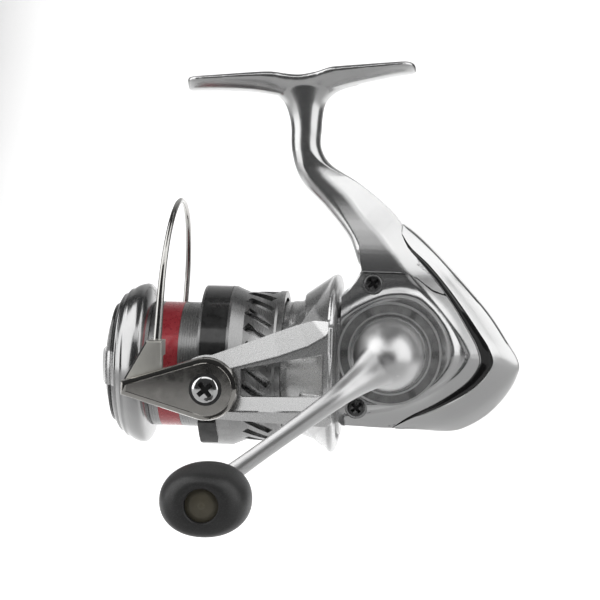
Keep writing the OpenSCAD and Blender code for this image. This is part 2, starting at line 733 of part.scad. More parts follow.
// ---- Oscillation ----
module oscillation_gear() {
  color([0.85, 0.85, 0.8]) case_frame() at([cross_x, cross_z]) difference() {
    union() {
      slab(-8.2, -6.2) tooth_outline(cross_teeth, spur_module * cross_teeth / 2, 0.45, 0.65,
        0.95, 0.38, 180 + cross_dir + 180 / cross_teeth);
      translate([pin_orbit, 0, 0]) rod_y(-6.3, -4, 0.9);
    }
    rod_y(-9, -5, 1.5 + gap);
  }
}
module main_shaft() {
  color([0.75, 0.75, 0.78]) case_frame() difference() {
    rod_x(-79.2, 22.6, shaft_r);
    at([slot_x, 0]) rod_y(-2, 0.6, 0.7);
  }
}
module slider() {
  color([0.7, 0.7, 0.72]) case_frame() difference() {
    slab(-3.8, -0.3) polygon([[slot_x - 2.3, -9.3], [slot_x + 2.3, -9.3],
      [slot_x + 2.3, 15.2], [slot_x + 0.7, 17.8], [slot_x - 2.3, 17.8]]);
    slab(-4, -2) polygon([[slot_x - 1.15, cross_z - pin_orbit - 1.1],
      [slot_x + 1.15, cross_z - pin_orbit - 1.1], [slot_x + 1.15, cross_z + pin_orbit + 1.1],
      [slot_x - 1.15, cross_z + pin_orbit + 1.1]]);
    rod_x(0, 30, shaft_r + 0.02);
    at([0, -7.5]) translate([0, -2.05, 0]) rod_x(0, 30, 0.9 + gap);
    at([slot_x, 0]) rod_y(-5, 0, 0.72);
    at([slot_x, 0]) rod_y(-5, -3, 1.3);
  }
}
module slider_screw() {
  color([0.5, 0.5, 0.52]) case_frame() at([slot_x, 0]) {
    rod_y(-3.75, -3, 1.25);
    rod_y(-3, 0.5, 0.68);
  }
}
module spool_seat() { color([0.5, 0.5, 0.52]) case_frame() ring_x(-49.5, -48.2, 4.6, shaft_r); }

// ---- Spool ----
module spool() {
  color([0.75, 0.75, 0.76]) case_frame() difference() {
    lathe_x([[-76, 13.2], [-76, 15.6], [-66.4, 15.6], [-66.4, arbor_r], [-63.9, arbor_r],
      [-63.9, arbor_r - 0.2], [-58.1, arbor_r - 0.2], [-58.1, arbor_r], [-52.6, arbor_r],
      [-52.2, skirt_r], [-43.7, skirt_r], [-40.1, 20.9], [-31.7, 21.1], [-31, 21.4],
      [-29.5, 21.4], [-29.5, 19.5], [-50.6, 19.5], [-51.2, 15.4], [-64, 15.4], [-64, 5],
      [-49.6, 5], [-49.6, shaft_r + 0.08], [-66.2, shaft_r + 0.08], [-66.2, 13.2]]);
    for (i = [0:port_count - 1])
      rotate([i * 360 / port_count, 0, 0]) translate([-36, 0, 20]) rotate([0, 0, port_lean])
        cube([port_l, port_w, 6], center = true);
    arc_x(-51.6, -44.4, skirt_r + 1, skirt_r - 0.25, 10, 96);
  }
}
module lip_ring() {
  color([0.85, 0.85, 0.85]) case_frame() lathe_x([[-76.7, 15.65], [-76.7, 17.2], [-75.4, 19.6],
    [-74.6, 19.9], [-73.4, 21], [-72.6, 21.2], [-70.8, 22.3], [-69.2, lip_r], [-68, 22.1],
    [-67.2, 20.6], [-66.6, 18.6], [-66.45, 17.6], [-66.45, 15.65]]);
}
module line_label() { color([0.7, 0.2, 0.25]) case_frame() ring_x(-63.85, -58.15, arbor_r + 0.05, arbor_r - 0.2); }
module skirt_panel() { color([0.04, 0.04, 0.04]) case_frame() arc_x(-51.5, -44.5, skirt_r + 0.1, skirt_r - 0.2, 11, 95); }
module line_clip() { color([0.05, 0.05, 0.05]) case_frame() arc_x(-52, -47.2, skirt_r + 0.9, skirt_r + gap, -62, -37); }
felt_fronts = [-67.2, -69.2, -71.2];
module drag_felts() {
  color([0.3, 0.28, 0.25]) case_frame()
    for (x = felt_fronts)
      ring_x(x, x + 0.9, 12.6, 2);
}
module drag_plates() {
  color([0.75, 0.75, 0.78]) case_frame()
    for (x = felt_fronts)
      ring_x(x - 1, x - 0.1, 12.8, 1.8);
}
module drag_retainer() {
  color([0.6, 0.6, 0.62]) case_frame() difference() {
    ring_x(-73, -72.4, 13.15, 11.6);
    translate([-74, -1.5, 8]) cube([3, 3, 8]);
  }
}
module drag_knob() {
  color([0.5, 0.5, 0.52]) case_frame() difference() {
    union() {
      lathe_x([[-73.6, 0], [-73.6, 11.2], [-76.9, 11.2], [-76.9, 16.9], [-77.6, 16.6],
        [-78.8, 12.5], [-79.4, 8], [-79.6, 0]]);
      intersection() {
        translate([-80.3, -16, -4.6]) cube([3.6, 32, 9.2]);
        lathe_x([[-80.3, 0], [-80.3, 9], [-78.2, 16.2], [-76.9, 16.2], [-76.9, 0]]);
      }
    }
    translate([-77, 0, 0]) rotate([0, 90, 0]) cylinder(h = 8, r = 3.3, $fn = 6);
    rod_x(-79.3, -70, shaft_r + gap);
  }
}
module drag_knob_nut() {
  color([0.78, 0.7, 0.45]) case_frame() difference() {
    translate([-76.9, 0, 0]) rotate([0, 90, 0]) cylinder(h = 3.2, r = 3.2, $fn = 6);
    rod_x(-78, -72, shaft_r + gap);
  }
}
module drag_spring() { color([0.75, 0.75, 0.78]) case_frame() coil(-73.55, -72.25, 4.2, 0.24, 1.25); }

body_frame();
side_cover();
cover_screws();
rear_cover();
accent_strips();
dial_panel();
dial_rims();
drive_bearing_races();
drive_bearing_balls();
pinion_bearing_race();
pinion_bearing_balls();
clutch_housing();
clutch_rollers();
clutch_screws();
brake_ring();
guide_rod();
oscillation_axle();
drive_gear();
drive_spur();
handle_shaft();
crank_boss();
crank_arm();
cap_screw();
drive_bearing_cones();
knob_pin();
knob();
knob_cap();
knob_bushes();
rotor();
pinion();
pinion_bearing_cone();
clutch_sleeve();
rotor_nut();
nut_retainer();
arm_covers();
bail_spring();
pivot_screws();
pivot_collars();
bail_lever();
bail_wire();
bail_holder();
roller_pin();
line_roller();
roller_bush();
oscillation_gear();
main_shaft();
slider();
slider_screw();
spool_seat();
spool();
lip_ring();
line_label();
skirt_panel();
line_clip();
drag_felts();
drag_plates();
drag_retainer();
drag_knob();
drag_knob_nut();
drag_spring();
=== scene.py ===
"""Looks of the spinning reel: studio, camera, materials and the detailed pieces over the CAD frame."""

import json
import math

import bmesh
import bpy
import numpy as np
from mathutils import Matrix, Vector


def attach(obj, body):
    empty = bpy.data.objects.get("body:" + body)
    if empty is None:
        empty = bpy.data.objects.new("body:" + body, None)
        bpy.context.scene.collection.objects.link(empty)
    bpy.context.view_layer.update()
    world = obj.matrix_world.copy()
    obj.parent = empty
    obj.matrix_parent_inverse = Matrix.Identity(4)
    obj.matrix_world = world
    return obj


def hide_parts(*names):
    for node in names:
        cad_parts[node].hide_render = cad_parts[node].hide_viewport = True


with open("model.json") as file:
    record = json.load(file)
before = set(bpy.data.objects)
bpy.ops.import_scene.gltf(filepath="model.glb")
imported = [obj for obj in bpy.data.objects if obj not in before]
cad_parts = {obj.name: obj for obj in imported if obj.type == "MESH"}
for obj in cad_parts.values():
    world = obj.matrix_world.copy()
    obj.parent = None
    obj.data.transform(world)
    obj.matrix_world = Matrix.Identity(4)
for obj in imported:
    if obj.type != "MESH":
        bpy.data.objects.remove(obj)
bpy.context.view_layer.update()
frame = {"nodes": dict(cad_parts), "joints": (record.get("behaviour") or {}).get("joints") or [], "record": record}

MM = 0.001
AXIS = 0.001  # radius in millimetres that closes a turned profile on its axis
LONG = Vector((1, 0, 0))
WIDE = Vector((0, 1, 0))
TALL = Vector((0, 0, 1))
JOINTS = {joint["name"]: joint for joint in frame["joints"]}
CRANK = Vector(JOINTS["crank_turn"]["pos_m"])
ROTOR = Vector(JOINTS["rotor_spin"]["pos_m"])
PIVOT = Vector(JOINTS["bail_open"]["pos_m"])
KNOB = Vector(JOINTS["knob_spin"]["pos_m"])


# ---- Materials -------------------------------------------------------------------------------------------
class Nodes:
    """Short helper round one material's node tree."""

    def __init__(self, name):
        self.material = bpy.data.materials.new(name)
        self.material.use_nodes = True
        self.tree = self.material.node_tree
        self.shader = self.tree.nodes["Principled BSDF"]
        self.place = self.add("ShaderNodeTexCoord").outputs["Object"]

    def add(self, kind, **values):
        node = self.tree.nodes.new(kind)
        for key, value in values.items():
            setattr(node, key, value)
        return node

    def link(self, source, target):
        self.tree.links.new(source, target)

    def noise(self, per_metre, detail=3.0, stretch=(1, 1, 1)):
        """Noise in object space: features of about 1 / per_metre, stretched along an axis by a small factor."""
        mapping = self.add("ShaderNodeMapping")
        mapping.inputs["Scale"].default_value = stretch
        self.link(self.place, mapping.inputs["Vector"])
        texture = self.add("ShaderNodeTexNoise")
        texture.inputs["Scale"].default_value = per_metre
        texture.inputs["Detail"].default_value = detail
        self.link(mapping.outputs["Vector"], texture.inputs["Vector"])
        return texture.outputs["Fac"]

    def spread(self, value, low, high, start=0.3, end=0.7):
        """A value between start and end becomes one between low and high, and stays inside them."""
        ranger = self.add("ShaderNodeMapRange")
        ranger.inputs["From Min"].default_value = start
        ranger.inputs["From Max"].default_value = end
        ranger.inputs["To Min"].default_value = low
        ranger.inputs["To Max"].default_value = high
        self.link(value, ranger.inputs["Value"])
        return ranger.outputs["Result"]

    def blend(self, share, first, second):
        """Mix of two colours, or of a colour and a socket, by a share socket."""
        mixer = self.add("ShaderNodeMix", data_type="RGBA")
        self.link(share, mixer.inputs[0])
        for socket, value in ((mixer.inputs[6], first), (mixer.inputs[7], second)):
            if isinstance(value, (tuple, list)):
                socket.default_value = (*value[:3], 1)
            else:
                self.link(value, socket)
        return mixer.outputs[2]

    def bump(self, height, strength, depth):
        bump = self.add("ShaderNodeBump")
        bump.inputs["Strength"].default_value = strength
        bump.inputs["Distance"].default_value = depth
        self.link(height, bump.inputs["Height"])
        self.link(bump.outputs["Normal"], self.shader.inputs["Normal"])

    def edges(self):
        """High along convex edges, where a finish rubs thin."""
        point = self.add("ShaderNodeNewGeometry").outputs["Pointiness"]
        return self.spread(point, 0, 1, 0.55, 0.66)

    def wear(self):
        """High along convex edges, broken up by noise."""
        share = self.add("ShaderNodeMath", operation="MULTIPLY")
        self.link(self.edges(), share.inputs[0])
        self.link(self.spread(self.noise(400, 4), 0.2, 0.9), share.inputs[1])
        return share.outputs[0]

    def highlight_bar(self, half_height):
        """High in a level strip about the rotor axis, where a highlight is painted."""
        split = self.add("ShaderNodeSeparateXYZ")
        self.link(self.place, split.inputs[0])
        height = self.spread(split.outputs["Z"], -1, 1, ROTOR.z - half_height, ROTOR.z + half_height)
        height.node.clamp = False
        off_axis = self.add("ShaderNodeMath", operation="ABSOLUTE")
        self.link(height, off_axis.inputs[0])
        return self.spread(off_axis.outputs[0], 1, 0, 0.97, 1.03)


def finish(name, dark, light, metallic, rough, grain=900, stretch=(1, 1, 1), bump=0.05, depth=2e-5,
           edge=None, coat=0.0, speckle=None, highlight_band=None):
    """A procedural finish: colour and roughness vary with grain, edges rub to another colour.

    Grain is the noise's features per metre, and rough its two roughnesses.
    A speckle is a colour, its features per metre and its strength.
    A painted highlight is given as a half height about the rotor axis and the light colour painted inside that
    height.
    """
    n = Nodes(name)
    broad = n.noise(55, 4)
    fine = n.noise(grain, 5, stretch)
    color = n.blend(n.spread(broad, 0, 1), dark, light)
    if speckle:
        fleck, per_metre, strength = speckle
        color = n.blend(n.spread(n.noise(per_metre, 2), 0, strength, 0.52, 0.64), color, fleck)
    # painted highlight: a light strip painted into the colour level with the rotor axis
    if highlight_band:
        half_height, highlight_color = highlight_band
        color = n.blend(n.highlight_bar(half_height), color, highlight_color)
    if edge:
        color = n.blend(n.wear(), color, edge)
    n.link(color, n.shader.inputs["Base Color"])
    n.link(n.spread(fine, rough[0], rough[1]), n.shader.inputs["Roughness"])
    n.shader.inputs["Metallic"].default_value = metallic
    n.shader.inputs["Coat Weight"].default_value = coat
    n.shader.inputs["Coat Roughness"].default_value = 0.06
    n.bump(fine, bump, depth)
    return n.material


def grey(value):
    return (value, value, value)


SILVER = finish("silver_metallic", grey(0.58), grey(0.63), 0.95, (0.22, 0.27), 3800, bump=0.05,
                depth=6e-6, edge=grey(0.75), coat=0.1, speckle=(grey(0.8), 6200, 0.07))
REAR = finish("silver_rear", grey(0.6), grey(0.65), 0.95, (0.2, 0.25), 3800, bump=0.03,
              depth=6e-6, edge=grey(0.85), coat=0.3, speckle=(grey(0.8), 6200, 0.05))
ROTOR_SILVER = finish("silver_rotor", grey(0.6), grey(0.65), 0.95, (0.26, 0.29), 3800, bump=0.02,
                      depth=6e-6, edge=grey(0.85), coat=0.2, speckle=(grey(0.8), 6200, 0.06))
GLOSS_BLACK = finish("gloss_black", grey(0.006), grey(0.012), 0.0, (0.12, 0.18), 600, bump=0.02,
                     edge=grey(0.06), coat=0.3)
MATT_BLACK = finish("matt_black", grey(0.012), grey(0.025), 0.0, (0.4, 0.55), 3000, bump=0.2,
                    edge=grey(0.08))
DIAL = finish("dial_grain", grey(0.14), grey(0.2), 0.7, (0.38, 0.55), 4500, bump=0.5, depth=4e-5,
              edge=grey(0.5), speckle=(grey(0.42), 4200, 0.8))
POLISHED = finish("polished", grey(0.72), grey(0.8), 1.0, (0.06, 0.14), 500, (1, 9, 9), 0.02,
                  edge=grey(0.95))
WIRE = finish("polished_wire", (0.46, 0.455, 0.44), (0.54, 0.53, 0.51), 1.0, (0.08, 0.14), 500,
              (9, 9, 1), 0.02, edge=grey(0.8))
LIP = finish("lip_polish", grey(0.42), grey(0.5), 1.0, (0.16, 0.24), 900, (9, 1, 1), 0.03,
             edge=grey(0.9))
CHROME = finish("warm_chrome", (0.42, 0.41, 0.39), (0.48, 0.465, 0.44), 1.0, (0.05, 0.1), 400,
                bump=0.02, edge=(0.9, 0.87, 0.82))
STEEL = finish("ground_steel", grey(0.42), grey(0.52), 1.0, (0.2, 0.34), 1600, (0.15, 1, 1), 0.08,
               edge=grey(0.75))
BLACK_STEEL = finish("black_steel", grey(0.07), grey(0.1), 0.9, (0.2, 0.3), 1800, bump=0.06,
                     edge=grey(0.3), coat=0.3)
# painted shade: near-black colour laid on as shade in the screws' cross recesses and as a dark reflection on the
# bail foot's leading edge
PAINTED_SHADE = finish("painted_shadow", grey(0.03), grey(0.05), 0.7, (0.3, 0.42), 2000, bump=0.1,
                edge=grey(0.2))
WARM_SATIN = finish("warm_satin", (0.62, 0.61, 0.57), (0.7, 0.69, 0.64), 0.85, (0.38, 0.46), 900,
                    bump=0.04, edge=(0.8, 0.78, 0.74))
GEAR_ALLOY = finish("gear_alloy", (0.45, 0.41, 0.32), (0.56, 0.5, 0.4), 1.0, (0.25, 0.38), 1400,
                    bump=0.1, edge=(0.8, 0.74, 0.6))
BRASS = finish("brass", (0.55, 0.4, 0.16), (0.66, 0.49, 0.22), 1.0, (0.18, 0.3), 1500, bump=0.08,
               edge=(0.9, 0.75, 0.45))
ACETAL = finish("acetal", (0.62, 0.6, 0.54), (0.7, 0.68, 0.62), 0.0, (0.3, 0.42), 1200, bump=0.06,
                edge=(0.8, 0.79, 0.74))
CRANK_SATIN = finish("crank_satin", grey(0.62), grey(0.68), 0.95, (0.34, 0.42), 3200, bump=0.02,
                     depth=5e-6, edge=grey(0.9), coat=0.15)
RUBBER = finish("knob_rubber", grey(0.02), grey(0.032), 0.0, (0.36, 0.5), 2600, bump=0.25, depth=3e-5,
                edge=grey(0.07), speckle=(grey(0.05), 3500, 0.5))
OLIVE = finish("cap_olive", (0.05, 0.045, 0.03), (0.14, 0.125, 0.09), 0.1, (0.35, 0.5), 500, bump=0.6,
               depth=2e-4, edge=(0.2, 0.18, 0.13))
SPOOL = finish("spool_satin", grey(0.3), grey(0.36), 0.95, (0.24, 0.34), 2200, (7, 0.3, 0.3), 0.03,
               edge=grey(0.7))
RED = finish("band_red", (0.30, 0.012, 0.022), (0.42, 0.02, 0.035), 0.35, (0.24, 0.34), 900,
             bump=0.03, edge=(0.5, 0.08, 0.09), coat=0.5)
FELT = finish("felt", (0.08, 0.07, 0.055), (0.13, 0.115, 0.09), 0.0, (0.8, 0.95), 2400,
              bump=0.8, depth=8e-5, edge=(0.16, 0.14, 0.11))
# painted highlight: dark grey drag knob finish with a light strip painted level with the rotor axis
KNOB_GREY_PAINTED_HIGHLIGHT = finish("drag_grey_painted_highlight", grey(0.075), grey(0.1), 0.75, (0.22, 0.32), 1800, bump=0.05,
                   edge=grey(0.35), coat=0.3, highlight_band=(4.7 * MM, grey(0.6)))

LOOKS = {
    "silver_body": SILVER, "silver_rear": REAR, "gloss_black": GLOSS_BLACK, "dial_grain": DIAL,
    "bright_trim": POLISHED, "lip_polish": POLISHED, "lever_chrome": CHROME, "black_screw": BLACK_STEEL,
    "steel": STEEL, "inner_black": MATT_BLACK, "rubber_black": RUBBER, "gear_alloy": GEAR_ALLOY,
    "gear_steel": STEEL, "pinion_brass": BRASS, "acetal": ACETAL, "crank_satin": CRANK_SATIN,
    "knob_rubber": RUBBER, "cap_olive": OLIVE, "roller_tone": POLISHED, "spool_alloy": SPOOL,
    "band_red": RED, "clip_black": MATT_BLACK, "felt": FELT, "knob_grey": KNOB_GREY_PAINTED_HIGHLIGHT,
}
SLOT_OF = {part["node"]: part["material_slot"] for part in frame["record"]["subparts"]}


def dress_cad():
    """Every CAD node gets its procedural material."""
    for name, node in frame["nodes"].items():
        node.data.materials.clear()
        node.data.materials.append(LOOKS.get(SLOT_OF[name], STEEL))
    frame["nodes"]["dial_rims"].data.materials[0] = CRANK_SATIN


# ---- Shape tools -----------------------------------------------------------------------------------------
def case(x, y, z):
    """A point given in millimetres from the rotor axis below the crank."""
    return ROTOR + Vector((x, y, z)) * MM


def in_case(point):
    """Where a point lies along and above the rotor axis, in millimetres."""
    return (point.x - ROTOR.x) / MM, (point.z - ROTOR.z) / MM


def through(rows, steps):
    """Catmull-Rom curve through rows of numbers."""
    out = []
    last = len(rows) - 1
    for i in range(last):
        a, b, c, d = rows[max(i - 1, 0)], rows[i], rows[i + 1], rows[min(i + 2, last)]
        for k in range(steps):
            t = k / steps
            out.append(tuple(0.5 * (2 * q + (r - p) * t + (2 * p - 5 * q + 4 * r - s) * t * t
                                    + (3 * q - p - 3 * r + s) * t ** 3)
                             for p, q, r, s in zip(a, b, c, d)))
    out.append(tuple(rows[-1]))
    return out


def rounded(points, rounds):
    """A closed outline with its corners cut to a smooth curve."""
    for _ in range(rounds):
        cut = []
        for i, a in enumerate(points):
            b = points[(i + 1) % len(points)]
            cut.append(tuple(0.8 * p + 0.2 * q for p, q in zip(a, b)))
            cut.append(tuple(0.2 * p + 0.8 * q for p, q in zip(a, b)))
        points = cut
    return points


def power_ring(centre, side, up, half_side, half_up, power=2.4, count=40):
    """Points of a superellipse."""
    ring = []
    for i in range(count):
        angle = 2 * math.pi * i / count
        c, s = math.cos(angle), math.sin(angle)
        out = half_side * math.copysign(abs(c) ** (2 / power), c)
        rise = half_up * math.copysign(abs(s) ** (2 / power), s)
        ring.append(centre + side * out + up * rise)
    return ring


def mesh_from(name, bm):
    bmesh.ops.recalc_face_normals(bm, faces=bm.faces)
    mesh = bpy.data.meshes.new(name)
    bm.to_mesh(mesh)
    bm.free()
    return mesh


def skin(name, rings, closed=False):
    """Closed surface over rings of points; the ends are capped unless the rings close on themselves."""
    bm = bmesh.new()
    loops = [[bm.verts.new(p) for p in ring] for ring in rings]
    pairs = list(zip(loops, loops[1:])) + ([(loops[-1], loops[0])] if closed else [])
    for a, b in pairs:
        for i in range(len(a)):
            j = (i + 1) % len(a)
            bm.faces.new((a[i], a[j], b[j], b[i]))
    if not closed:
        bm.faces.new(loops[0])
        bm.faces.new(loops[-1])
    return mesh_from(name, bm)


def turned(name, profile, axis="x", centre=(0, 0, 0), count=128):
    """Revolved surface from (along, radius) points, about an axis through a case point.

    It closes at both ends where the profile runs from axis to axis, and into a tube otherwise.
    """
    rings = []
    for along, radius in profile:
        ring = []
        for i in range(count):
            angle = 2 * math.pi * i / count
            c, s = radius * math.cos(angle), radius * math.sin(angle)
            offset = (along, c, s) if axis == "x" else (c, along, s)
            ring.append(case(*[p + q for p, q in zip(centre, offset)]))
        rings.append(ring)
    solid = profile[0][1] <= AXIS and profile[-1][1] <= AXIS
    return skin(name, rings, closed=not solid)


def plate(name, outline, front, back, bevel, segments, recess=None):
    """Flat plate in the XZ plane with its front edge bevelled.

    A recess is the width of the border left standing and how far the face inside it is sunk.
    """
    bm = bmesh.new()
    face = bm.faces.new([bm.verts.new(case(x, back, z)) for x, z in outline])
    lifted = bmesh.ops.extrude_face_region(bm, geom=[face])["geom"]
    verts = [v for v in lifted if isinstance(v, bmesh.types.BMVert)]
    bmesh.ops.translate(bm, verts=verts, vec=Vector((0, front - back, 0)) * MM)
    top = next(f for f in lifted if isinstance(f, bmesh.types.BMFace))
    bmesh.ops.bevel(bm, geom=list(top.edges), offset=bevel * MM, segments=segments, profile=0.5,
                    affect="EDGES", clamp_overlap=True)
    if recess:
        width, depth = recess
        level = case(0, front, 0).y
        top = max(bm.faces, key=lambda f: len(f.verts) if abs(f.calc_center_median().y - level) < 1e-6 else 0)
        bmesh.ops.inset_region(bm, faces=[top], thickness=width * MM, depth=0, use_even_offset=True)
        bmesh.ops.inset_region(bm, faces=[top], thickness=depth * MM, depth=0, use_even_offset=True)
        sink = Vector((0, depth if back > front else -depth, 0)) * MM
        bmesh.ops.translate(bm, verts=list(top.verts), vec=sink)
    return mesh_from(name, bm)


def mirrored(mesh, name):
    """The same mesh on the far side."""
    copy = mesh.copy()
    copy.name = name
    copy.transform(Matrix.Scale(-1, 4, (0, 1, 0)))
    copy.flip_normals()
    return copy


def joined(name, meshes):
    """Several meshes as one."""
    bm = bmesh.new()
    for mesh in meshes:
        bm.from_mesh(mesh)
    mesh = bpy.data.meshes.new(name)
    bm.to_mesh(mesh)
    bm.free()
    return mesh


def make_object(name, mesh):
    piece = bpy.data.objects.new(name, mesh)
    bpy.context.scene.collection.objects.link(piece)
    return piece


def baked(piece):
    """Applies the piece's modifiers to its mesh."""
    graph = bpy.context.evaluated_depsgraph_get()
    mesh = bpy.data.meshes.new_from_object(piece.evaluated_get(graph))
    piece.modifiers.clear()
    piece.data = mesh
    return piece


def cast(name, meshes, voxel, rounds, thin=1.0):
    """One continuous skin over closed meshes: voxel remeshed, smoothed and thinned out."""
    piece = make_object(name, joined(name, meshes))
    remesh = piece.modifiers.new("skin", "REMESH")
    remesh.mode = "VOXEL"
    remesh.voxel_size = voxel * MM
    smooth = piece.modifiers.new("soften", "SMOOTH")
    smooth.factor = 0.5
    smooth.iterations = rounds
    if thin < 1:
        piece.modifiers.new("thin", "DECIMATE").ratio = thin
    return baked(piece)


def rod(start, end, radius):
    """Turned profile of a plain solid rod."""
    return [(start, AXIS), (start, radius), (end, radius), (end, AXIS)]


def cut(piece, cutter):
    """Takes a closed mesh out of a piece."""
    tool = make_object("cutter", cutter)
    boolean = piece.modifiers.new("cut", "BOOLEAN")
    boolean.operation = "DIFFERENCE"
    boolean.solver = "MANIFOLD"
    boolean.object = tool
    baked(piece)
    bpy.data.objects.remove(tool)
    return piece


def settle(piece, body, look, stands_for=(), angle=35):
    """Gives a finished piece its material and its body, and hides the nodes it stands for."""
    piece.data.materials.clear()
    piece.data.materials.append(look)
    piece.data.shade_smooth()
    if angle:
        piece.data.set_sharp_from_angle(angle=math.radians(angle))
    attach(piece, body)
    if stands_for:
        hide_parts(*stands_for)
    return piece


# ---- Outlines shared by neighbouring pieces, x and z in millimetres from the rotor axis below the crank --
CASE_HALF = 12.6
CASE_FRONT = -13.6
CRANK_RISE = 6
CASE_REAR = [(2.6, 41.2), (6.5, 38.4), (12.1, 33.2), (19.9, 25), (27.1, 16.8), (32.4, 8.9), (35.5, 3.6),
             (35.1, -0.6), (32.2, -5.8), (27.6, -11), (22, -14.6), (17.2, -16), (9, -15.7), (2.2, -15.2)]
INNER_EDGE = [(2.2, 38.4), (4.2, 34.6), (9, 29.6), (12.8, 25.2), (17.8, 18.2), (21.2, 12.6), (23.6, 8.2),
              (24.6, 3.8), (22.4, -0.4), (19.2, -3.4), (15, -6.4), (10.8, -8.9), (5.9, -11.5), (0.9, -15)]
OUTER_EDGE = [(2.4, 38.5), (5, 34.7), (9.9, 30.3), (14.9, 24.6), (19.6, 18.4), (23.8, 12.4), (26.6, 8.1),
              (27.9, 3.8), (25.2, -0.9), (21, -4.6), (15.8, -7.7), (10.8, -10.1), (6.2, -11.9), (1.1, -15)]
SEAM = [(-8.4, 27.7), (2.4, 27.7), (6.8, 26.6), (11, 23.3), (13.8, 22.3), (15, 22)]
CREST = [(-26.2, 90), (-26.2, 75), (-26.1, 67.9), (-25, 61), (-21.6, 55.6), (-17.6, 51.9), (-12.4, 47.6),
         (-8.2, 42.9), (-3.5, 38.2), (-0.4, 34.3), (2.4, 29.8), (5.6, 25.9), (9.4, 22.1), (13.6, 17.6),
         (17.4, 12.6), (20.2, 8), (21.1, 5.2), (18.9, 1.4), (13.9, -2.9), (7.1, -6.8), (-0.1, -9.5),
         (-11.9, -11.4)]
DIAL_RIDGE = [(-9, 18.5), (-2.4, 21.6), (3.1, 22.4), (7.9, 21.2), (12.4, 17.2), (15.6, 12.6), (17.4, 7.4),
              (16.9, 3.3), (13.8, -1.2), (8.6, -5.1), (1.8, -7.6), (-6.4, -8.7), (-13.8, -7), (-15, 14)]
CREST_CURVE = through(CREST, 3)
INNER_CURVE = through(INNER_EDGE, 4)
RIDGE_CURVE = rounded(DIAL_RIDGE, 2)
FAR = 80  # beyond every piece
OUTSIDE_CREST = CREST_CURVE + [(-12, -60), (FAR, -60), (FAR, 90)]
OUTSIDE_INNER = [(x + 0.25, z) for x, z in INNER_CURVE] + [(0.9, -60), (FAR, -60), (FAR, 60), (2.3, 60)]
SHOULDER = [  # height, half width inside the crest
    (20, 12.6), (25, 12.6), (28.5, 12.55), (33, 11.6), (38, 9.9), (43.5, 7.9), (48.5, 6.4), (55, 5.15),
    (58, 4.9), (64, 5.4), (70, 8), (72, 12)]
SHOULDER_CURVE = through(SHOULDER, 4)
CREST_SLOPE = 0.4  # fall outside the crest
CREST_TOP = 66  # height at which that fall has faded out
CREST_FADE = 12
FOOT_START = 71  # the foot above it isn't trimmed
UNDER_COVER = 2.6  # how much deeper the casting lies under the accent and the rear cover


def inside(outline, x, z):
    """Whether places lie inside a closed outline."""
    x, z = np.asarray(x, float), np.asarray(z, float)
    within = np.zeros(x.shape, bool)
    for (ax, az), (bx, bz) in zip(outline, outline[1:] + outline[:1]):
        if az != bz:
            crosses = (az > z) != (bz > z)
            within ^= crosses & (x < (bx - ax) * (z - az) / (bz - az) + ax)
    return within


def distance(line, x, z):
    """Distance of places to a line of points."""
    x, z = np.asarray(x, float), np.asarray(z, float)
    best = np.full(x.shape, 1e9)
    for (ax, az), (bx, bz) in zip(line, line[1:]):
        ux, uz = bx - ax, bz - az
        t = np.clip(((x - ax) * ux + (z - az) * uz) / (ux * ux + uz * uz), 0, 1)
        best = np.minimum(best, (x - ax - ux * t) ** 2 + (z - az - uz * t) ** 2)
    return np.sqrt(best)


def beyond(line, outline, x, z):
    """Distance to a line, counted positive inside the outline and negative outside it."""
    return distance(line, x, z) * np.where(inside(outline, x, z), 1, -1)


def case_half(x, z):
    """Half width of the case: flat inside the crest, falling away outside it and up towards the stem."""
    out = beyond(CREST_CURVE, OUTSIDE_CREST, x, z)
    fall = CREST_SLOPE * np.where(out > 1, out, np.maximum(out + 1, 0) ** 2 / 4)
    fall = fall * np.clip((CREST_TOP - np.asarray(z)) / CREST_FADE, 0, 1)
    heights, halves = zip(*SHOULDER_CURVE)
    return np.interp(z, heights, halves) - fall


def casting_half(x, z):
    """Half width of the casting: under the accent and rear cover it lies deeper, and the foot is left alone."""
    hidden = inside(OUTSIDE_INNER, x, z)
    half = case_half(x, z) - np.where(hidden, UNDER_COVER, 0)
    return np.where(np.asarray(z) > FOOT_START, FAR, half)


def cover_half(x, z):
    """Half width of the near cover: a ridge round the dial, a groove and a fine step along the crest."""
    from_ridge = distance(RIDGE_CURVE + RIDGE_CURVE[:1], x, z)
    from_crest = beyond(CREST_CURVE, OUTSIDE_CREST, x, z)
    ridge = 0.95 * np.exp(-(from_ridge / 1.5) ** 2)
    groove = 0.25 * np.exp(-(from_crest / 0.3) ** 2)
    step = 0.35 * np.clip((-0.15 - from_crest) / 0.2, 0, 1) * np.clip((6 + from_crest) / 6, 0, 1)
    return case_half(x, z) + ridge - groove - step


def trim(piece, limit, near_only=False, above=0.0):
    """Brings every vertex inside the half width given for its place."""
    count = len(piece.data.vertices)
    flat = np.empty(count * 3)
    piece.data.vertices.foreach_get("co", flat)
    spots = (flat.reshape(-1, 3) - np.array(ROTOR)) / MM
    most = limit(spots[:, 0], spots[:, 2])
    proud = (np.abs(spots[:, 1]) > most) & (np.abs(spots[:, 1]) > above)
    if near_only:
        proud &= spots[:, 1] < 0
    spots[:, 1] = np.where(proud, np.sign(spots[:, 1]) * most, spots[:, 1])
    piece.data.vertices.foreach_set("co", (spots * MM + np.array(ROTOR)).ravel())
    piece.data.update()
    return piece


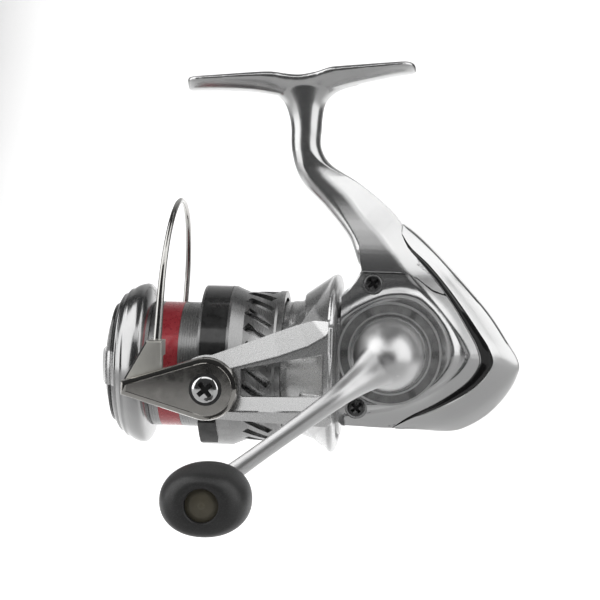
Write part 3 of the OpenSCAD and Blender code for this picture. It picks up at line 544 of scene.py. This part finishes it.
# ---- Casting: foot, stem and case ------------------------------------------------------------------------
SEAT_TILT = math.radians(5)
FOOT_ROWS = [  # along the foot, top, underside, half width
    (-31.6, -0.9, -3.7, 2.6), (-31.2, -0.3, -3.9, 4.4), (-29.6, 0, -4.0, 5.7), (-26, 0, -4.2, 6.3),
    (-18.8, 0, -4.8, 6.5), (-13, 0, -5.6, 6.5), (-9, -0.1, -6.5, 6.4), (-6.4, -0.45, -7.1, 6.1),
    (-4.6, -0.9, -7.6, 5.7), (-0.3, -1.5, -8.2, 5.3), (3.8, -1.15, -7.8, 5.6), (5.6, -0.8, -7.4, 6.0),
    (8.4, -0.1, -6.8, 6.4), (11.5, 0, -6.1, 6.5), (16, 0, -5.3, 6.5), (25, 0, -4.1, 6.3),
    (29.2, -0.05, -3.7, 5.6), (31.2, -0.6, -3.5, 4.2), (31.9, -1.5, -3.3, 2.4)]
FOOT_SECTION = [  # share of the half width, share of the height from the underside
    (0, 1), (0.5, 1), (0.8, 0.99), (0.95, 0.95), (1, 0.87), (1, 0.78), (0.97, 0.66), (0.87, 0.47),
    (0.76, 0.3), (0.62, 0.14), (0.42, 0.04), (0.2, 0.01), (0, 0)]
STEM_ROWS = [  # x, z, half length, half width, lean in degrees, squareness
    (-25.9, 79.2, 15, 4.9, 0, 2), (-25.9, 78.3, 11.6, 4.9, 0, 2), (-25.9, 77, 8.8, 4.9, 0, 2),
    (-25.8, 75.3, 6.8, 4.9, 0, 2), (-25.6, 73.4, 5.5, 4.9, 0, 2), (-25.3, 70.4, 4.7, 4.85, 0, 2),
    (-25.1, 67, 4.3, 4.9, 0, 2), (-24.9, 61, 4.15, 4.9, -8, 2.1), (-21.9, 54.6, 4.7, 5.5, -32, 2.8),
    (-14.2, 48.4, 5.8, 6.9, -35, 4.5), (-5.7, 39.8, 7.1, 10.4, -27, 6), (-0.9, 30.4, 8.4, 13, -4, 7)]


def foot_mesh():
    """Winged foot on the tilted seat, its sides upright and its underside swelling into the stem."""
    tilt = Matrix.Rotation(-SEAT_TILT, 3, "Y")
    section = FOOT_SECTION + [(-a, b) for a, b in reversed(FOOT_SECTION[1:-1])]
    rings = []
    for x, top, under, half in through(FOOT_ROWS, 4):
        ring = [Vector((x, a * half, under + (top - under) * b)) for a, b in section]
        rings.append([tilt @ (point * MM) for point in ring])
    return skin("foot", rings)


def stem_mesh():
    """Stem that flattens and widens as it sweeps into the case."""
    rings = []
    for x, z, half_long, half_wide, lean, square in through(STEM_ROWS, 8):
        angle = math.radians(lean)
        along = Vector((math.cos(angle), 0, -math.sin(angle)))
        rings.append(power_ring(case(x, 0, z), along, WIDE, half_long * MM, half_wide * MM, square))
    return skin("stem", rings)


CASE_TOP = 37.6  # height at which the stem takes over from the case


def case_mesh():
    """The CAD casting below the stem, closed where it is cut."""
    bm = bmesh.new()
    bm.from_mesh(frame["nodes"]["body_frame"].data)
    bmesh.ops.remove_doubles(bm, verts=bm.verts, dist=1e-6)
    level = case(0, 0, CASE_TOP)
    geometry = list(bm.verts) + list(bm.edges) + list(bm.faces)
    bmesh.ops.bisect_plane(bm, geom=geometry, plane_co=level, plane_no=TALL, clear_outer=True)
    bmesh.ops.holes_fill(bm, edges=[e for e in bm.edges if e.is_boundary], sides=0)
    return mesh_from("case", bm)


COVER_SCREWS = ((-5, 25), (-8.9, -9.4))
REAR_SCREW = (29.3, 7.5)
CRANK_CENTRE = (0, 0, CRANK_RISE)
DIAL_SEAT = [  # y, radius
    (-14.4, 6.55), (-14.4, 13.9), (-14.2, 14.0), (-10.8, 14.0), (-10.8, 8.2), (-8.9, 8.2), (-8.9, 6.55)]


def make_casting():
    """Foot, stem and case as one casting."""
    piece = cast("frame_casting", [case_mesh(), foot_mesh(), stem_mesh()], 0.34, 6)
    trim(piece, casting_half, above=2)
    settle(piece, "reel_body", SILVER, ["body_frame"], angle=40)


def make_side_cover():
    """Near cover under the seam: a ridge round the dial, a step along the crest, and sunk screw holes."""
    edge = [(x - 0.1, z) for x, z in INNER_CURVE if z < 21.6]
    lower = [(-2, -15), (CASE_FRONT + 1, -14.5), (CASE_FRONT, -13.6)]
    front = [(CASE_FRONT, 21), (-11.3, 23), (-8.5, 27)]
    outline = through(SEAM, 4) + edge + lower + front
    piece = cast("side_cover_plate", [plate("blank", outline, -14.6, -8.6, 0.02, 1)], 0.26, 1)
    trim(piece, cover_half, near_only=True)
    cut(piece, turned("bore", rod(-20, -5, 13.6), "y", CRANK_CENTRE, 96))
    for x, z in COVER_SCREWS:
        cut(piece, turned("well", rod(-20, -CASE_HALF + 0.9, 3.1), "y", (x, 0, z), 48))
    seat = turned("seat", DIAL_SEAT, "y", CRANK_CENTRE)
    piece.data = joined("side_cover_plate", [piece.data, seat])
    settle(piece, "reel_body", SILVER, ["side_cover"])


def cheek_section(width, high, low):
    """Closed section of the rear cover across both cheeks, as (in from the rim, y) points."""
    near = [(width, high - 0.25), (0.94 * width, high + 0.02)]
    for share in (0.8, 0.6, 0.4, 0.25):
        near.append((share * width, low + (high - low) * (share + 0.35 * share * (1 - share))))
    near += [(0.12 * width, low + 0.35), (min(0.35, 0.06 * width), low - 0.15), (0, low - 0.9),
             (0, 0.45 * low)]
    lining = [(min(1.6, 0.5 * width), low - 2.4), (width, high - 2.2)]
    section = [(a, -y) for a, y in near] + near[::-1]
    return section + lining[::-1] + [(a, -y) for a, y in lining]


def make_rear_cover():
    """Shell that wraps the back of the case: tilted cheeks with a crisp corner, and a rim between them."""
    outer, inner = through(CASE_REAR, 6), through(OUTER_EDGE, 6)
    rings = []
    for (px, pz), (qx, qz) in zip(outer, inner):
        reach = Vector((qx - px, 0, qz - pz))
        width = max(reach.length, 0.01)
        way = reach / width
        section = cheek_section(width, case_half(qx, qz), case_half(px, pz) - 0.2)
        rings.append([case(px, y, pz) + way * (a * MM) for a, y in section])
    piece = make_object("rear_shell", skin("rear_shell", rings))
    settle(piece, "reel_body", REAR, ["rear_cover"], angle=30)


STRIP_SECTION = ((0.02, -2), (0.02, -0.45), (0.3, -0.2), (0.7, 0.0), (0.98, -0.2), (0.98, -2))
BEAD_SECTION = ((0.0, -0.6), (0.02, 0.05), (0.1, 0.08), (0.18, -0.25), (0.18, -0.6))
BEAD_START = 3
BEAD_END = 66


def across_gap(a, b, section):
    """Near side points of a section, given as share of the way from a to b and height over the case."""
    (ax, az), (bx, bz) = a, b
    top = case_half((ax + bx) / 2, (az + bz) / 2)
    return [case(ax + (bx - ax) * share, -(top + y), az + (bz - az) * share) for share, y in section]


def both_sides(name, near):
    return make_object(name, joined(name, [near, mirrored(near, "far")]))


def make_accents():
    """Gloss strip between casting and rear cover on both sides, with a fine bright bead on its inner edge."""
    inner, outer = through(INNER_EDGE, 6), through(OUTER_EDGE, 6)
    strips, beads = [], []
    for a, b in zip(inner, outer):
        strips.append(across_gap(a, b, STRIP_SECTION))
        beads.append(across_gap(a, b, BEAD_SECTION))
    strip = both_sides("accent_strip", skin("accent_strip", strips))
    settle(strip, "reel_body", GLOSS_BLACK, ["accent_strips"], angle=40)
    bead = both_sides("accent_bead", skin("accent_bead", beads[BEAD_START:BEAD_END]))
    settle(bead, "reel_body", REAR, angle=40)


# ---- Handle ----------------------------------------------------------------------------------------------
CRANK_DOWN = math.atan2(CRANK.z - KNOB.z, CRANK.x - KNOB.x)
CRANK_REACH = math.hypot(CRANK.z - KNOB.z, CRANK.x - KNOB.x) / MM
ARM_ROWS = [  # distance from the axis, y, half width, half thickness
    (-5.5, -24.4, 4.0, 2.0), (-2.5, -26.0, 5.4, 3.2), (1, -27.5, 6.0, 3.8), (4.5, -28.9, 5.4, 3.8),
    (8, -31, 4.3, 3.2), (12, -33.8, 3.4, 2.7), (17, -36.8, 2.85, 2.4), (27, -40, 2.5, 2.1), (40, -43, 2.35, 2),
    (CRANK_REACH, -46.2, 2.6, 2)]
HUB_EDGE = [(-23.3, AXIS), (-23.3, 8.95)]  # y, radius
HUB_DOME = [  # y, radius
    (-23.5, 9.1), (-25.2, 8.5), (-27.2, 7.4), (-29.2, 5.9), (-30.8, 3.8), (-31.7, 1.8), (-31.8, AXIS)]
EYE = [(-48.4, AXIS), (-48.4, 3.7), (-48, 4), (-44.6, 4), (-44.2, 3.7), (-44.2, AXIS)]  # y, radius
COLLAR = [  # y, radius
    (-15.6, 9.2), (-15.9, 9.6), (-17, 9.8), (-19.6, 9.65), (-22.2, 9.2), (-23.4, 8.7), (-24.6, 7.8)]
COLLAR_BORE = 2.1
KNOB_ROWS = [  # y, half width, half height
    (-49.6, 5.4, 5.0), (-50.6, 6.3, 5.6), (-55, 8.2, 6.9), (-60, 10.2, 8.2), (-65, 11.2, 8.8),
    (-69.5, 11.4, 8.9), (-73.5, 10.8, 8.5), (-76.4, 9.3, 7.6), (-77.8, 7.2, 6.3), (-78.2, 5.4, 5.2)]
KNOB_HOLE = [  # y, radius: recess for the cap, then the bore
    (-78.1, 4.5), (-77.8, 4.25), (-76.2, 4.2), (-76.2, 3.42), (-49.7, 3.42)]


def arm_mesh():
    """Arm that widens like a trumpet into the hub, from the hub's middle to the knob."""
    away = Vector((-math.cos(CRANK_DOWN), 0, -math.sin(CRANK_DOWN)))
    across = Vector((-away.z, 0, away.x))
    rings = []
    rows = through(ARM_ROWS, 6)
    for i, (s, y, half_wide, half_thick) in enumerate(rows):
        before, after = rows[max(i - 1, 0)], rows[min(i + 1, len(rows) - 1)]
        run = (away * (after[0] - before[0]) + Vector((0, after[1] - before[1], 0))).normalized()
        up = run.cross(across)
        centre = CRANK + away * (s * MM) + Vector((0, y * MM - CRANK.y, 0))
        rings.append(power_ring(centre, across, up, half_wide * MM, half_thick * MM, 1.8, 48))
    return skin("arm", rings)


def make_crank_arm():
    """Domed hub, arm and the eye that holds the knob's pin, as one casting."""
    x, z = in_case(KNOB)
    dome = turned("dome", HUB_EDGE + through(HUB_DOME, 3), "y", CRANK_CENTRE, 96)
    eye = turned("eye", EYE, "y", (x, 0, z), 64)
    piece = cast("crank_casting", [arm_mesh(), dome, eye], 0.24, 40)
    settle(piece, "crank", CRANK_SATIN, ["crank_arm"], angle=0)


def make_boss():
    """Collar under the domed hub."""
    bottom, top = COLLAR[0][0], COLLAR[-1][0]
    profile = [(bottom, COLLAR_BORE)] + through(COLLAR, 4) + [(top, COLLAR_BORE)]
    piece = make_object("crank_collar", turned("collar", profile, "y", CRANK_CENTRE))
    cut(piece, plate("notch", [(8.2, 5.2), (10.4, 5.2), (10.4, 6.8), (8.2, 6.8)], -20.6, -16.8, 0.05, 1))
    settle(piece, "crank", CRANK_SATIN, ["crank_boss"])


def make_knob():
    """Oval grip, fullest near its outer end, with a round recess for the cap."""
    x, z = in_case(KNOB)
    rings = []
    for y, half_x, half_z in through(KNOB_ROWS, 5):
        rings.append(power_ring(case(x, y, z), LONG, TALL, half_x * MM, half_z * MM, 2.15, 96))
    for y, radius in KNOB_HOLE:
        rings.append(power_ring(case(x, y, z), LONG, TALL, radius * MM, radius * MM, 2, 96))
    piece = make_object("knob_grip", skin("knob_grip", rings, closed=True))
    settle(piece, "grip", RUBBER, ["knob"])


# ---- Bail ------------------------------------------------------------------------------------------------
LEVER_IN = 30.8
LEVER_OUT = 33.0
LEVER_R = 8.5
LEVER_TIPS = [(-71.1, -1.4), (-71.1, -5.2)]


def lever_outline(radius, tips):
    """Round end at the pivot, tangents to the two tip points."""
    cx, cz = in_case(PIVOT)
    angles = []
    for (tx, tz), side in ((tips[0], -1), (tips[1], 1)):
        reach = math.hypot(tx - cx, tz - cz)
        angles.append(math.atan2(tz - cz, tx - cx) + side * math.acos(radius / reach))
    start, end = angles
    sweep = (end - start) % (2 * math.pi)
    if sweep < math.pi:
        sweep -= 2 * math.pi
    arc = [(cx + radius * math.cos(start + sweep * i / 40), cz + radius * math.sin(start + sweep * i / 40))
           for i in range(41)]
    return [tips[0]] + arc + [tips[1]]


def make_lever():
    """Polished lever with a raised bevelled edge, a well for the pivot screw, and its hub."""
    cx, cz = in_case(PIVOT)
    blank = plate("lever", lever_outline(LEVER_R, LEVER_TIPS), -LEVER_OUT, -LEVER_IN, 1.1, 2, (0.3, 0.15))
    piece = make_object("bail_lever_plate", blank)
    cut(piece, turned("well", rod(-LEVER_OUT - 1, -LEVER_OUT + 1.6, 4.4), "y", (cx, 0, cz), 64))
    hub = turned("hub", rod(-LEVER_IN - 0.3, -26.8, 4.5), "y", (cx, 0, cz), 64)
    piece.data = joined("bail_lever", [piece.data, hub])
    settle(piece, "bail", CHROME, ["bail_lever"], angle=25)


WIRE_FOOT = (-62.4, 9.0)
WIRE_TOP = 46.2
WIRE_ARCH = 25.5  # radius of the arch
WIRE_LEAN = math.radians(3.5)
WIRE_RADIUS = 0.78
WIRE_SWELL = 0.42  # how much thicker the near leg is at its foot
WIRE_STEPS = 72


def make_wire():
    """Polished wire: thick near leg, round the arch and down the far side."""
    foot_x, foot_z = WIRE_FOOT
    leg = (WIRE_TOP - foot_z) / math.cos(WIRE_LEAN) - WIRE_ARCH
    length = 2 * leg + math.pi * WIRE_ARCH
    lean = Matrix.Rotation(WIRE_LEAN, 3, "Y")
    rings = []
    for i in range(WIRE_STEPS + 1):
        run = length * i / WIRE_STEPS
        angle = min(max(run - leg, 0) / WIRE_ARCH, math.pi)
        height = run if run < leg else leg + WIRE_ARCH * math.sin(angle) - max(run - length + leg, 0)
        place = Vector((0, -WIRE_ARCH * math.cos(angle), height))
        outward = Vector((0, -math.cos(angle), math.sin(angle)))
        thick = WIRE_RADIUS + WIRE_SWELL * max(0, 1 - run / (0.9 * leg + 20)) ** 1.3
        centre = case(foot_x, 0, foot_z) + lean @ (place * MM)
        rings.append(power_ring(centre, lean @ LONG, lean @ outward, thick * MM, thick * MM, 2, 24))
    piece = make_object("bail_arch", skin("wire", rings))
    settle(piece, "bail", WIRE, ["bail_wire"], angle=40)


def make_bail_feet():
    """Flat foot and block under the near leg, its leading edge darkened with a painted dark reflection, and the
    block under the far leg.
    """
    foot = plate("foot_plate", [(-71.0, -1.9), (-64.7, 9.3), (-60.3, 9.3), (-60.2, 0), (-62, -4.4),
                                (-69.6, -4)], -LEVER_IN, -LEVER_IN + 2.2, 0.5, 2)
    block = plate("foot_block", [(-64.3, 5.2), (-60.3, 5.2), (-60.3, 9.3), (-64.3, 9.3)], -LEVER_IN + 0.3,
                  -LEVER_IN + 6.4, 0.7, 3)
    far_block = plate("far_block", [(-64.3, 4.7), (-60.3, 4.7), (-60.3, 8.9), (-64.3, 8.9)], 24.3, 28, 0.5, 2)
    feet = make_object("bail_feet", joined("bail_feet", [foot, block, far_block]))
    settle(feet, "bail", WARM_SATIN, angle=30)
    # painted dark reflection: the near foot's left-facing faces take the painted shade finish
    feet.data.materials.append(PAINTED_SHADE)
    for face in feet.data.polygons:
        face.material_index = int(face.normal.x < -0.3 and face.center.y < 0)


# ---- Screws ----------------------------------------------------------------------------------------------
def cross_wings(x, z, face, radius, height):
    """The two tapered bars of a cross recess."""
    wings = []
    for angle in (math.radians(40), math.radians(130)):
        way = Vector((math.cos(angle), 0, math.sin(angle)))
        across = Vector((-way.z, 0, way.x))
        rows = []
        for depth, long, wide in ((-0.3, 0.72, 0.2), (0.75 * height, 0.42, 0.1)):
            centre = case(x, -face + depth, z)
            rows.append([centre + (way * (a * long) + across * (b * wide)) * (radius * MM)
                         for a, b in ((1, 1), (-1, 1), (-1, -1), (1, -1))])
        wings.append(skin("wing", rows))
    return wings


def in_recess(face_centre, x, z, face, radius):
    """Whether a face lies in the cross recess, well below the dome and inside the wings' reach."""
    on_face = (face_centre - case(x, -face, z)).length / MM
    off_axis = (face_centre - case(x, face_centre.y / MM, z)).length
    sunk = -face_centre.y / MM < face - 0.16 - 0.2 * on_face / radius
    return sunk and off_axis < 0.76 * radius * MM


def cross_screw(name, x, z, face, radius, height, far=False):
    """Domed screw head with a tapered cross recess; face is its distance from the middle plane."""
    profile = [(-face + height, AXIS), (-face + height, radius), (-face + 0.25 * height, radius * 0.98),
               (-face + 0.05 * height, radius * 0.8), (-face, radius * 0.55), (-face - 0.04, AXIS)]
    piece = make_object(name, turned(name, profile, "y", (x, 0, z), 64))
    for wing in cross_wings(x, z, face, radius, height):
        cut(piece, wing)
    deep = [p.index for p in piece.data.polygons if in_recess(p.center, x, z, face, radius)]
    if far:
        piece.data = mirrored(piece.data, name)
    return piece, deep


def dress_screw(screw, body, look, stands_for=()):
    """Bright or black head, with painted shade in its cross recess."""
    piece, deep = screw
    settle(piece, body, look, stands_for, angle=30)
    # painted shade: the cross recess faces take the near-black shade finish
    piece.data.materials.append(PAINTED_SHADE)
    for index in deep:
        piece.data.polygons[index].material_index = 1


def make_pivot_screws():
    cx, cz = in_case(PIVOT)
    for name, far, stands_for in (("pivot_screw_near", False, ["pivot_screws"]), ("pivot_screw_far", True, ())):
        screw = cross_screw(name, cx, cz, LEVER_OUT + 1.0, 3.55, 1.9, far)
        dress_screw(screw, "rotor_head", POLISHED, stands_for)


def make_case_screws():
    for name, (x, z), stands_for in (("cover_screw_top", COVER_SCREWS[0], ["cover_screws"]),
                                     ("cover_screw_low", COVER_SCREWS[1], ())):
        screw = cross_screw(name, x, z, CASE_HALF + 0.3, 2.5, 1.4)
        dress_screw(screw, "reel_body", BLACK_STEEL, stands_for)
    x, z = REAR_SCREW
    screw = cross_screw("rear_screw", x, z, float(case_half(x, z)) + 1.3, 2.3, 4, far=True)
    dress_screw(screw, "reel_body", BLACK_STEEL)


# ---- Rotor and spool -------------------------------------------------------------------------------------
ARM_FACE = 29.45
RIM_SIDE = 28.8  # rim of the flare, from the axis towards the arms
RIM_TOP = 26.2
RIM_BOTTOM = 22.7
RIM_POWER = 2.8
RIM_X = -16.2
CUP_RADIUS = 18.3
UPPER_FOLD = [(-60, -3.5), (-41.6, 2.4), (-29, 6.0), (-21, 9.0), (-16.7, 11.6), (-13.6, 16.0), (-12, 22),
              (-11.5, 30)]
LOWER_FOLD = [(-60, -9.2), (-42.3, -9.3), (-10, -8.6)]


def wing_mesh():
    """Flare that grows out of the cup and sweeps forward into both arms."""
    rings = []
    count = 120
    for k in range(count):
        angle = 2 * math.pi * k / count
        side, up = abs(math.sin(angle)), abs(math.cos(angle))
        tall = RIM_TOP if math.cos(angle) > 0 else RIM_BOTTOM
        rim = ((side / RIM_SIDE) ** RIM_POWER + (up / tall) ** RIM_POWER) ** (-1 / RIM_POWER)
        front = -25.5 - 9 * side ** 3
        section = []
        for i in range(15):
            share = i / 14
            section.append((front + (RIM_X - front) * share, CUP_RADIUS + (rim - CUP_RADIUS) * share ** 1.7))
        section += [(-15.4, rim + 0.1), (-14.7, rim - 0.6), (-14.5, rim - 1.5), (-14.5, 21), (-19, 20.7),
                    (-21.6, 18), (front, 17.4)]
        rings.append([case(x, -r * math.sin(angle), r * math.cos(angle)) for x, r in section])
    return skin("wing", rings, closed=True)


def arm_half(x, z):
    """Outer face of an arm: folded back above the upper fold, below the lower one, and to a sill above it."""
    above = np.clip(beyond(UPPER_FOLD, UPPER_FOLD + [(-60, 30)], x, z), 0, 12)
    below = beyond(LOWER_FOLD, LOWER_FOLD + [(-10, -60), (-60, -60)], x, z)
    sill = np.where(z < -4.3, np.clip(-below, 0, 5), 0) * np.clip((-15.5 - x) / 1.5, 0, 1)
    return ARM_FACE - 0.5 * above - 0.6 * np.clip(below, 0, 5) - 0.5 * sill


def make_rotor():
    """Cup, wings and arms under one skin, with the folds of the arms kept crisp."""
    piece = cast("rotor_casting", [frame["nodes"]["rotor"].data, wing_mesh()], 0.28, 8)
    trim(piece, arm_half, above=22)
    settle(piece, "rotor_head", ROTOR_SILVER, ["rotor"], angle=40)


LIP_DISH = [(-76.7, 15.7), (-76.7, 17.0), (-76.3, 18.0), (-75.4, 19.5)]  # x, radius
LIP_STEPS = [  # x, radius
    (-75.2, 19.6), (-74.9, 19.55), (-74.5, 19.9), (-73.6, 20.9), (-73.4, 21.0), (-73.1, 20.95), (-72.5, 21.3)]
LIP_ROLL = [  # x, radius
    (-71.4, 22.0), (-70.2, 22.4), (-69.1, 22.5), (-68.1, 22.15), (-67.2, 20.8), (-66.65, 18.8), (-66.5, 17.6)]
LIP_BACK = [(-66.45, 15.7)]
DISH_END = -75.3
GROOVE_PITCH = 0.72


def make_lip():
    """Stepped polished lip with a dark dish in front, the dish in the drag knob's finish with its painted
    highlight.
    """
    profile = through(LIP_DISH, 3) + LIP_STEPS + through(LIP_ROLL, 4) + LIP_BACK
    piece = make_object("lip_steps", turned("lip_steps", profile, count=160))
    settle(piece, "spool_set", LIP, ["lip_ring"], angle=40)
    # the dish faces take the drag knob's finish, its painted highlight strip included
    piece.data.materials.append(KNOB_GREY_PAINTED_HIGHLIGHT)
    for face in piece.data.polygons:
        face.material_index = int(face.center.x < case(DISH_END, 0, 0).x)


def make_grooves(name, start, end, ridges):
    """Fine ridges round the arbor, where the line would lie."""
    profile = [(start, 17.3)]
    for i in range(ridges):
        x = start + 0.1 + GROOVE_PITCH * i
        profile += [(x, 17.42), (x + 0.1, 17.58), (x + 0.5, 17.58), (x + 0.6, 17.42)]
    profile += [(end, 17.3)]
    piece = make_object(name, turned(name, profile))
    settle(piece, "spool_set", SPOOL)


# ---- Studio ----------------------------------------------------------------------------------------------
AIM = Vector((0.00106, -0.00054, -0.06452))
AZIMUTH = math.radians(4.5)
ELEVATION = math.radians(4.5)
ROLL = math.radians(1.2)
DISTANCE = 0.5204
LENS = 111.0


def make_camera():
    """Long lens on the near side, turned a little to the rear, a little above, and slightly rolled."""
    back = Vector((math.sin(AZIMUTH) * math.cos(ELEVATION), -math.cos(AZIMUTH) * math.cos(ELEVATION),
                   math.sin(ELEVATION)))
    right = Vector((math.cos(AZIMUTH), math.sin(AZIMUTH), 0))
    up = back.cross(right)
    tilted_right = right * math.cos(ROLL) + up * math.sin(ROLL)
    tilted_up = up * math.cos(ROLL) - right * math.sin(ROLL)
    data = bpy.data.cameras.new("camera")
    data.lens = LENS
    data.sensor_width = 36
    data.clip_start = 0.02
    camera = bpy.data.objects.new("camera", data)
    bpy.context.scene.collection.objects.link(camera)
    turn = Matrix((tilted_right, tilted_up, back)).transposed().to_4x4()
    camera.matrix_world = Matrix.Translation(AIM + back * DISTANCE) @ turn
    bpy.context.scene.camera = camera


def area_light(name, place, size, power, target=AIM):
    data = bpy.data.lights.new(name, "AREA")
    data.shape = "RECTANGLE"
    data.size, data.size_y = size
    data.energy = power
    light = bpy.data.objects.new(name, data)
    light.location = place
    light.rotation_euler = (target - light.location).to_track_quat("-Z", "Y").to_euler()
    bpy.context.scene.collection.objects.link(light)


def side_box(name, degrees, distance, size, power, rise):
    """Tall soft box, at an angle round the reel from the near side, raised by a share of its distance."""
    angle = math.radians(degrees)
    place = AIM + Vector((math.sin(angle), -math.cos(angle), rise)) * distance
    area_light(name, place, size, power)


FLOOR_Z = AIM.z - 0.12
SWEEP_HALF = 1
SWEEP_FRONT = -0.8
SWEEP_BACK = 1.3
SWEEP_BEND = 0.6
SWEEP_TOP = 2.4


def sweep_material():
    """Pale matt floor that glows behind the reel, fading towards the camera, the sides and the top."""
    n = Nodes("studio_white")
    n.link(n.blend(n.noise(6, 2), grey(0.6), grey(0.64)), n.shader.inputs["Base Color"])
    n.shader.inputs["Roughness"].default_value = 0.9
    split = n.add("ShaderNodeSeparateXYZ")
    n.link(n.place, split.inputs[0])
    sideways = n.add("ShaderNodeMath", operation="ABSOLUTE")
    n.link(split.outputs["X"], sideways.inputs[0])
    glow = n.add("ShaderNodeMath", operation="MULTIPLY")
    n.link(n.spread(split.outputs["Y"], 0.0, 0.85, -0.1, 0.16), glow.inputs[0])
    n.link(n.spread(sideways.outputs[0], 1.0, 0.1, 0.3, 0.45), glow.inputs[1])
    low_glow = n.add("ShaderNodeMath", operation="MULTIPLY")
    n.link(glow.outputs[0], low_glow.inputs[0])
    n.link(n.spread(split.outputs["Z"], 1.0, 0.15, 0.15, 0.3), low_glow.inputs[1])
    n.link(low_glow.outputs[0], n.shader.inputs["Emission Strength"])
    n.shader.inputs["Emission Color"].default_value = (1, 1, 1, 1)
    return n.material


def make_sweep():
    """Pale floor that curves up into the backdrop."""
    bend_y = SWEEP_BACK - SWEEP_BEND
    rows = [(SWEEP_FRONT, FLOOR_Z), (bend_y, FLOOR_Z)]
    for i in range(1, 11):
        angle = math.radians(9 * i)
        height = SWEEP_BEND - SWEEP_BEND * math.cos(angle)
        rows.append((bend_y + SWEEP_BEND * math.sin(angle), FLOOR_Z + height))
    rows.append((SWEEP_BACK, SWEEP_TOP))
    mesh = bpy.data.meshes.new("sweep")
    points = [(x, y, z) for y, z in rows for x in (-SWEEP_HALF, SWEEP_HALF)]
    mesh.from_pydata(points, [], [(2 * i, 2 * i + 1, 2 * i + 3, 2 * i + 2) for i in range(len(rows) - 1)])
    mesh.shade_smooth()
    sweep = bpy.data.objects.new("sweep", mesh)
    sweep.data.materials.append(sweep_material())
    bpy.context.scene.collection.objects.link(sweep)


WORLD_LOW = 0.03
WORLD_HIGH = 0.06
WORLD_SEEN = 0.8  # what the camera sees of it


def make_world():
    """Dim surround, darker low down, lighter overhead."""
    world = bpy.data.worlds.new("studio")
    world.use_nodes = True
    tree = world.node_tree
    split = tree.nodes.new("ShaderNodeSeparateXYZ")
    ramp = tree.nodes.new("ShaderNodeMapRange")
    ramp.inputs["From Min"].default_value = -0.2
    ramp.inputs["From Max"].default_value = 0.9
    ramp.inputs["To Min"].default_value = WORLD_LOW
    ramp.inputs["To Max"].default_value = WORLD_HIGH
    tree.links.new(tree.nodes.new("ShaderNodeTexCoord").outputs["Generated"], split.inputs[0])
    tree.links.new(split.outputs["Z"], ramp.inputs["Value"])
    background = tree.nodes["Background"]
    background.inputs["Color"].default_value = (0.97, 0.98, 1, 1)
    seen = tree.nodes.new("ShaderNodeMix")
    seen.inputs[3].default_value = WORLD_SEEN
    tree.links.new(tree.nodes.new("ShaderNodeLightPath").outputs["Is Camera Ray"], seen.inputs[0])
    tree.links.new(ramp.outputs["Result"], seen.inputs[2])
    tree.links.new(seen.outputs[0], background.inputs["Strength"])
    bpy.context.scene.world = world


def make_studio():
    make_sweep()
    make_world()
    side_box("left_box", -74, 1.05, (1.3, 2.1), 15, 0.45)
    side_box("right_box", 69, 1.05, (1.3, 2.0), 12, 0.5)
    area_light("top_box", Vector((0.0, -0.75, 0.75)), (0.9, 0.4), 1.3)
    bpy.context.scene.view_settings.view_transform = "Standard"


dress_cad()
make_casting()
make_side_cover()
make_rear_cover()
make_accents()
make_crank_arm()
make_boss()
make_knob()
make_lever()
make_wire()
make_bail_feet()
make_pivot_screws()
make_case_screws()
make_rotor()
make_lip()
make_grooves("arbor_grooves", -57.9, -52.8, 7)
make_grooves("arbor_grooves_front", -66.3, -64, 3)
make_camera()
make_studio()
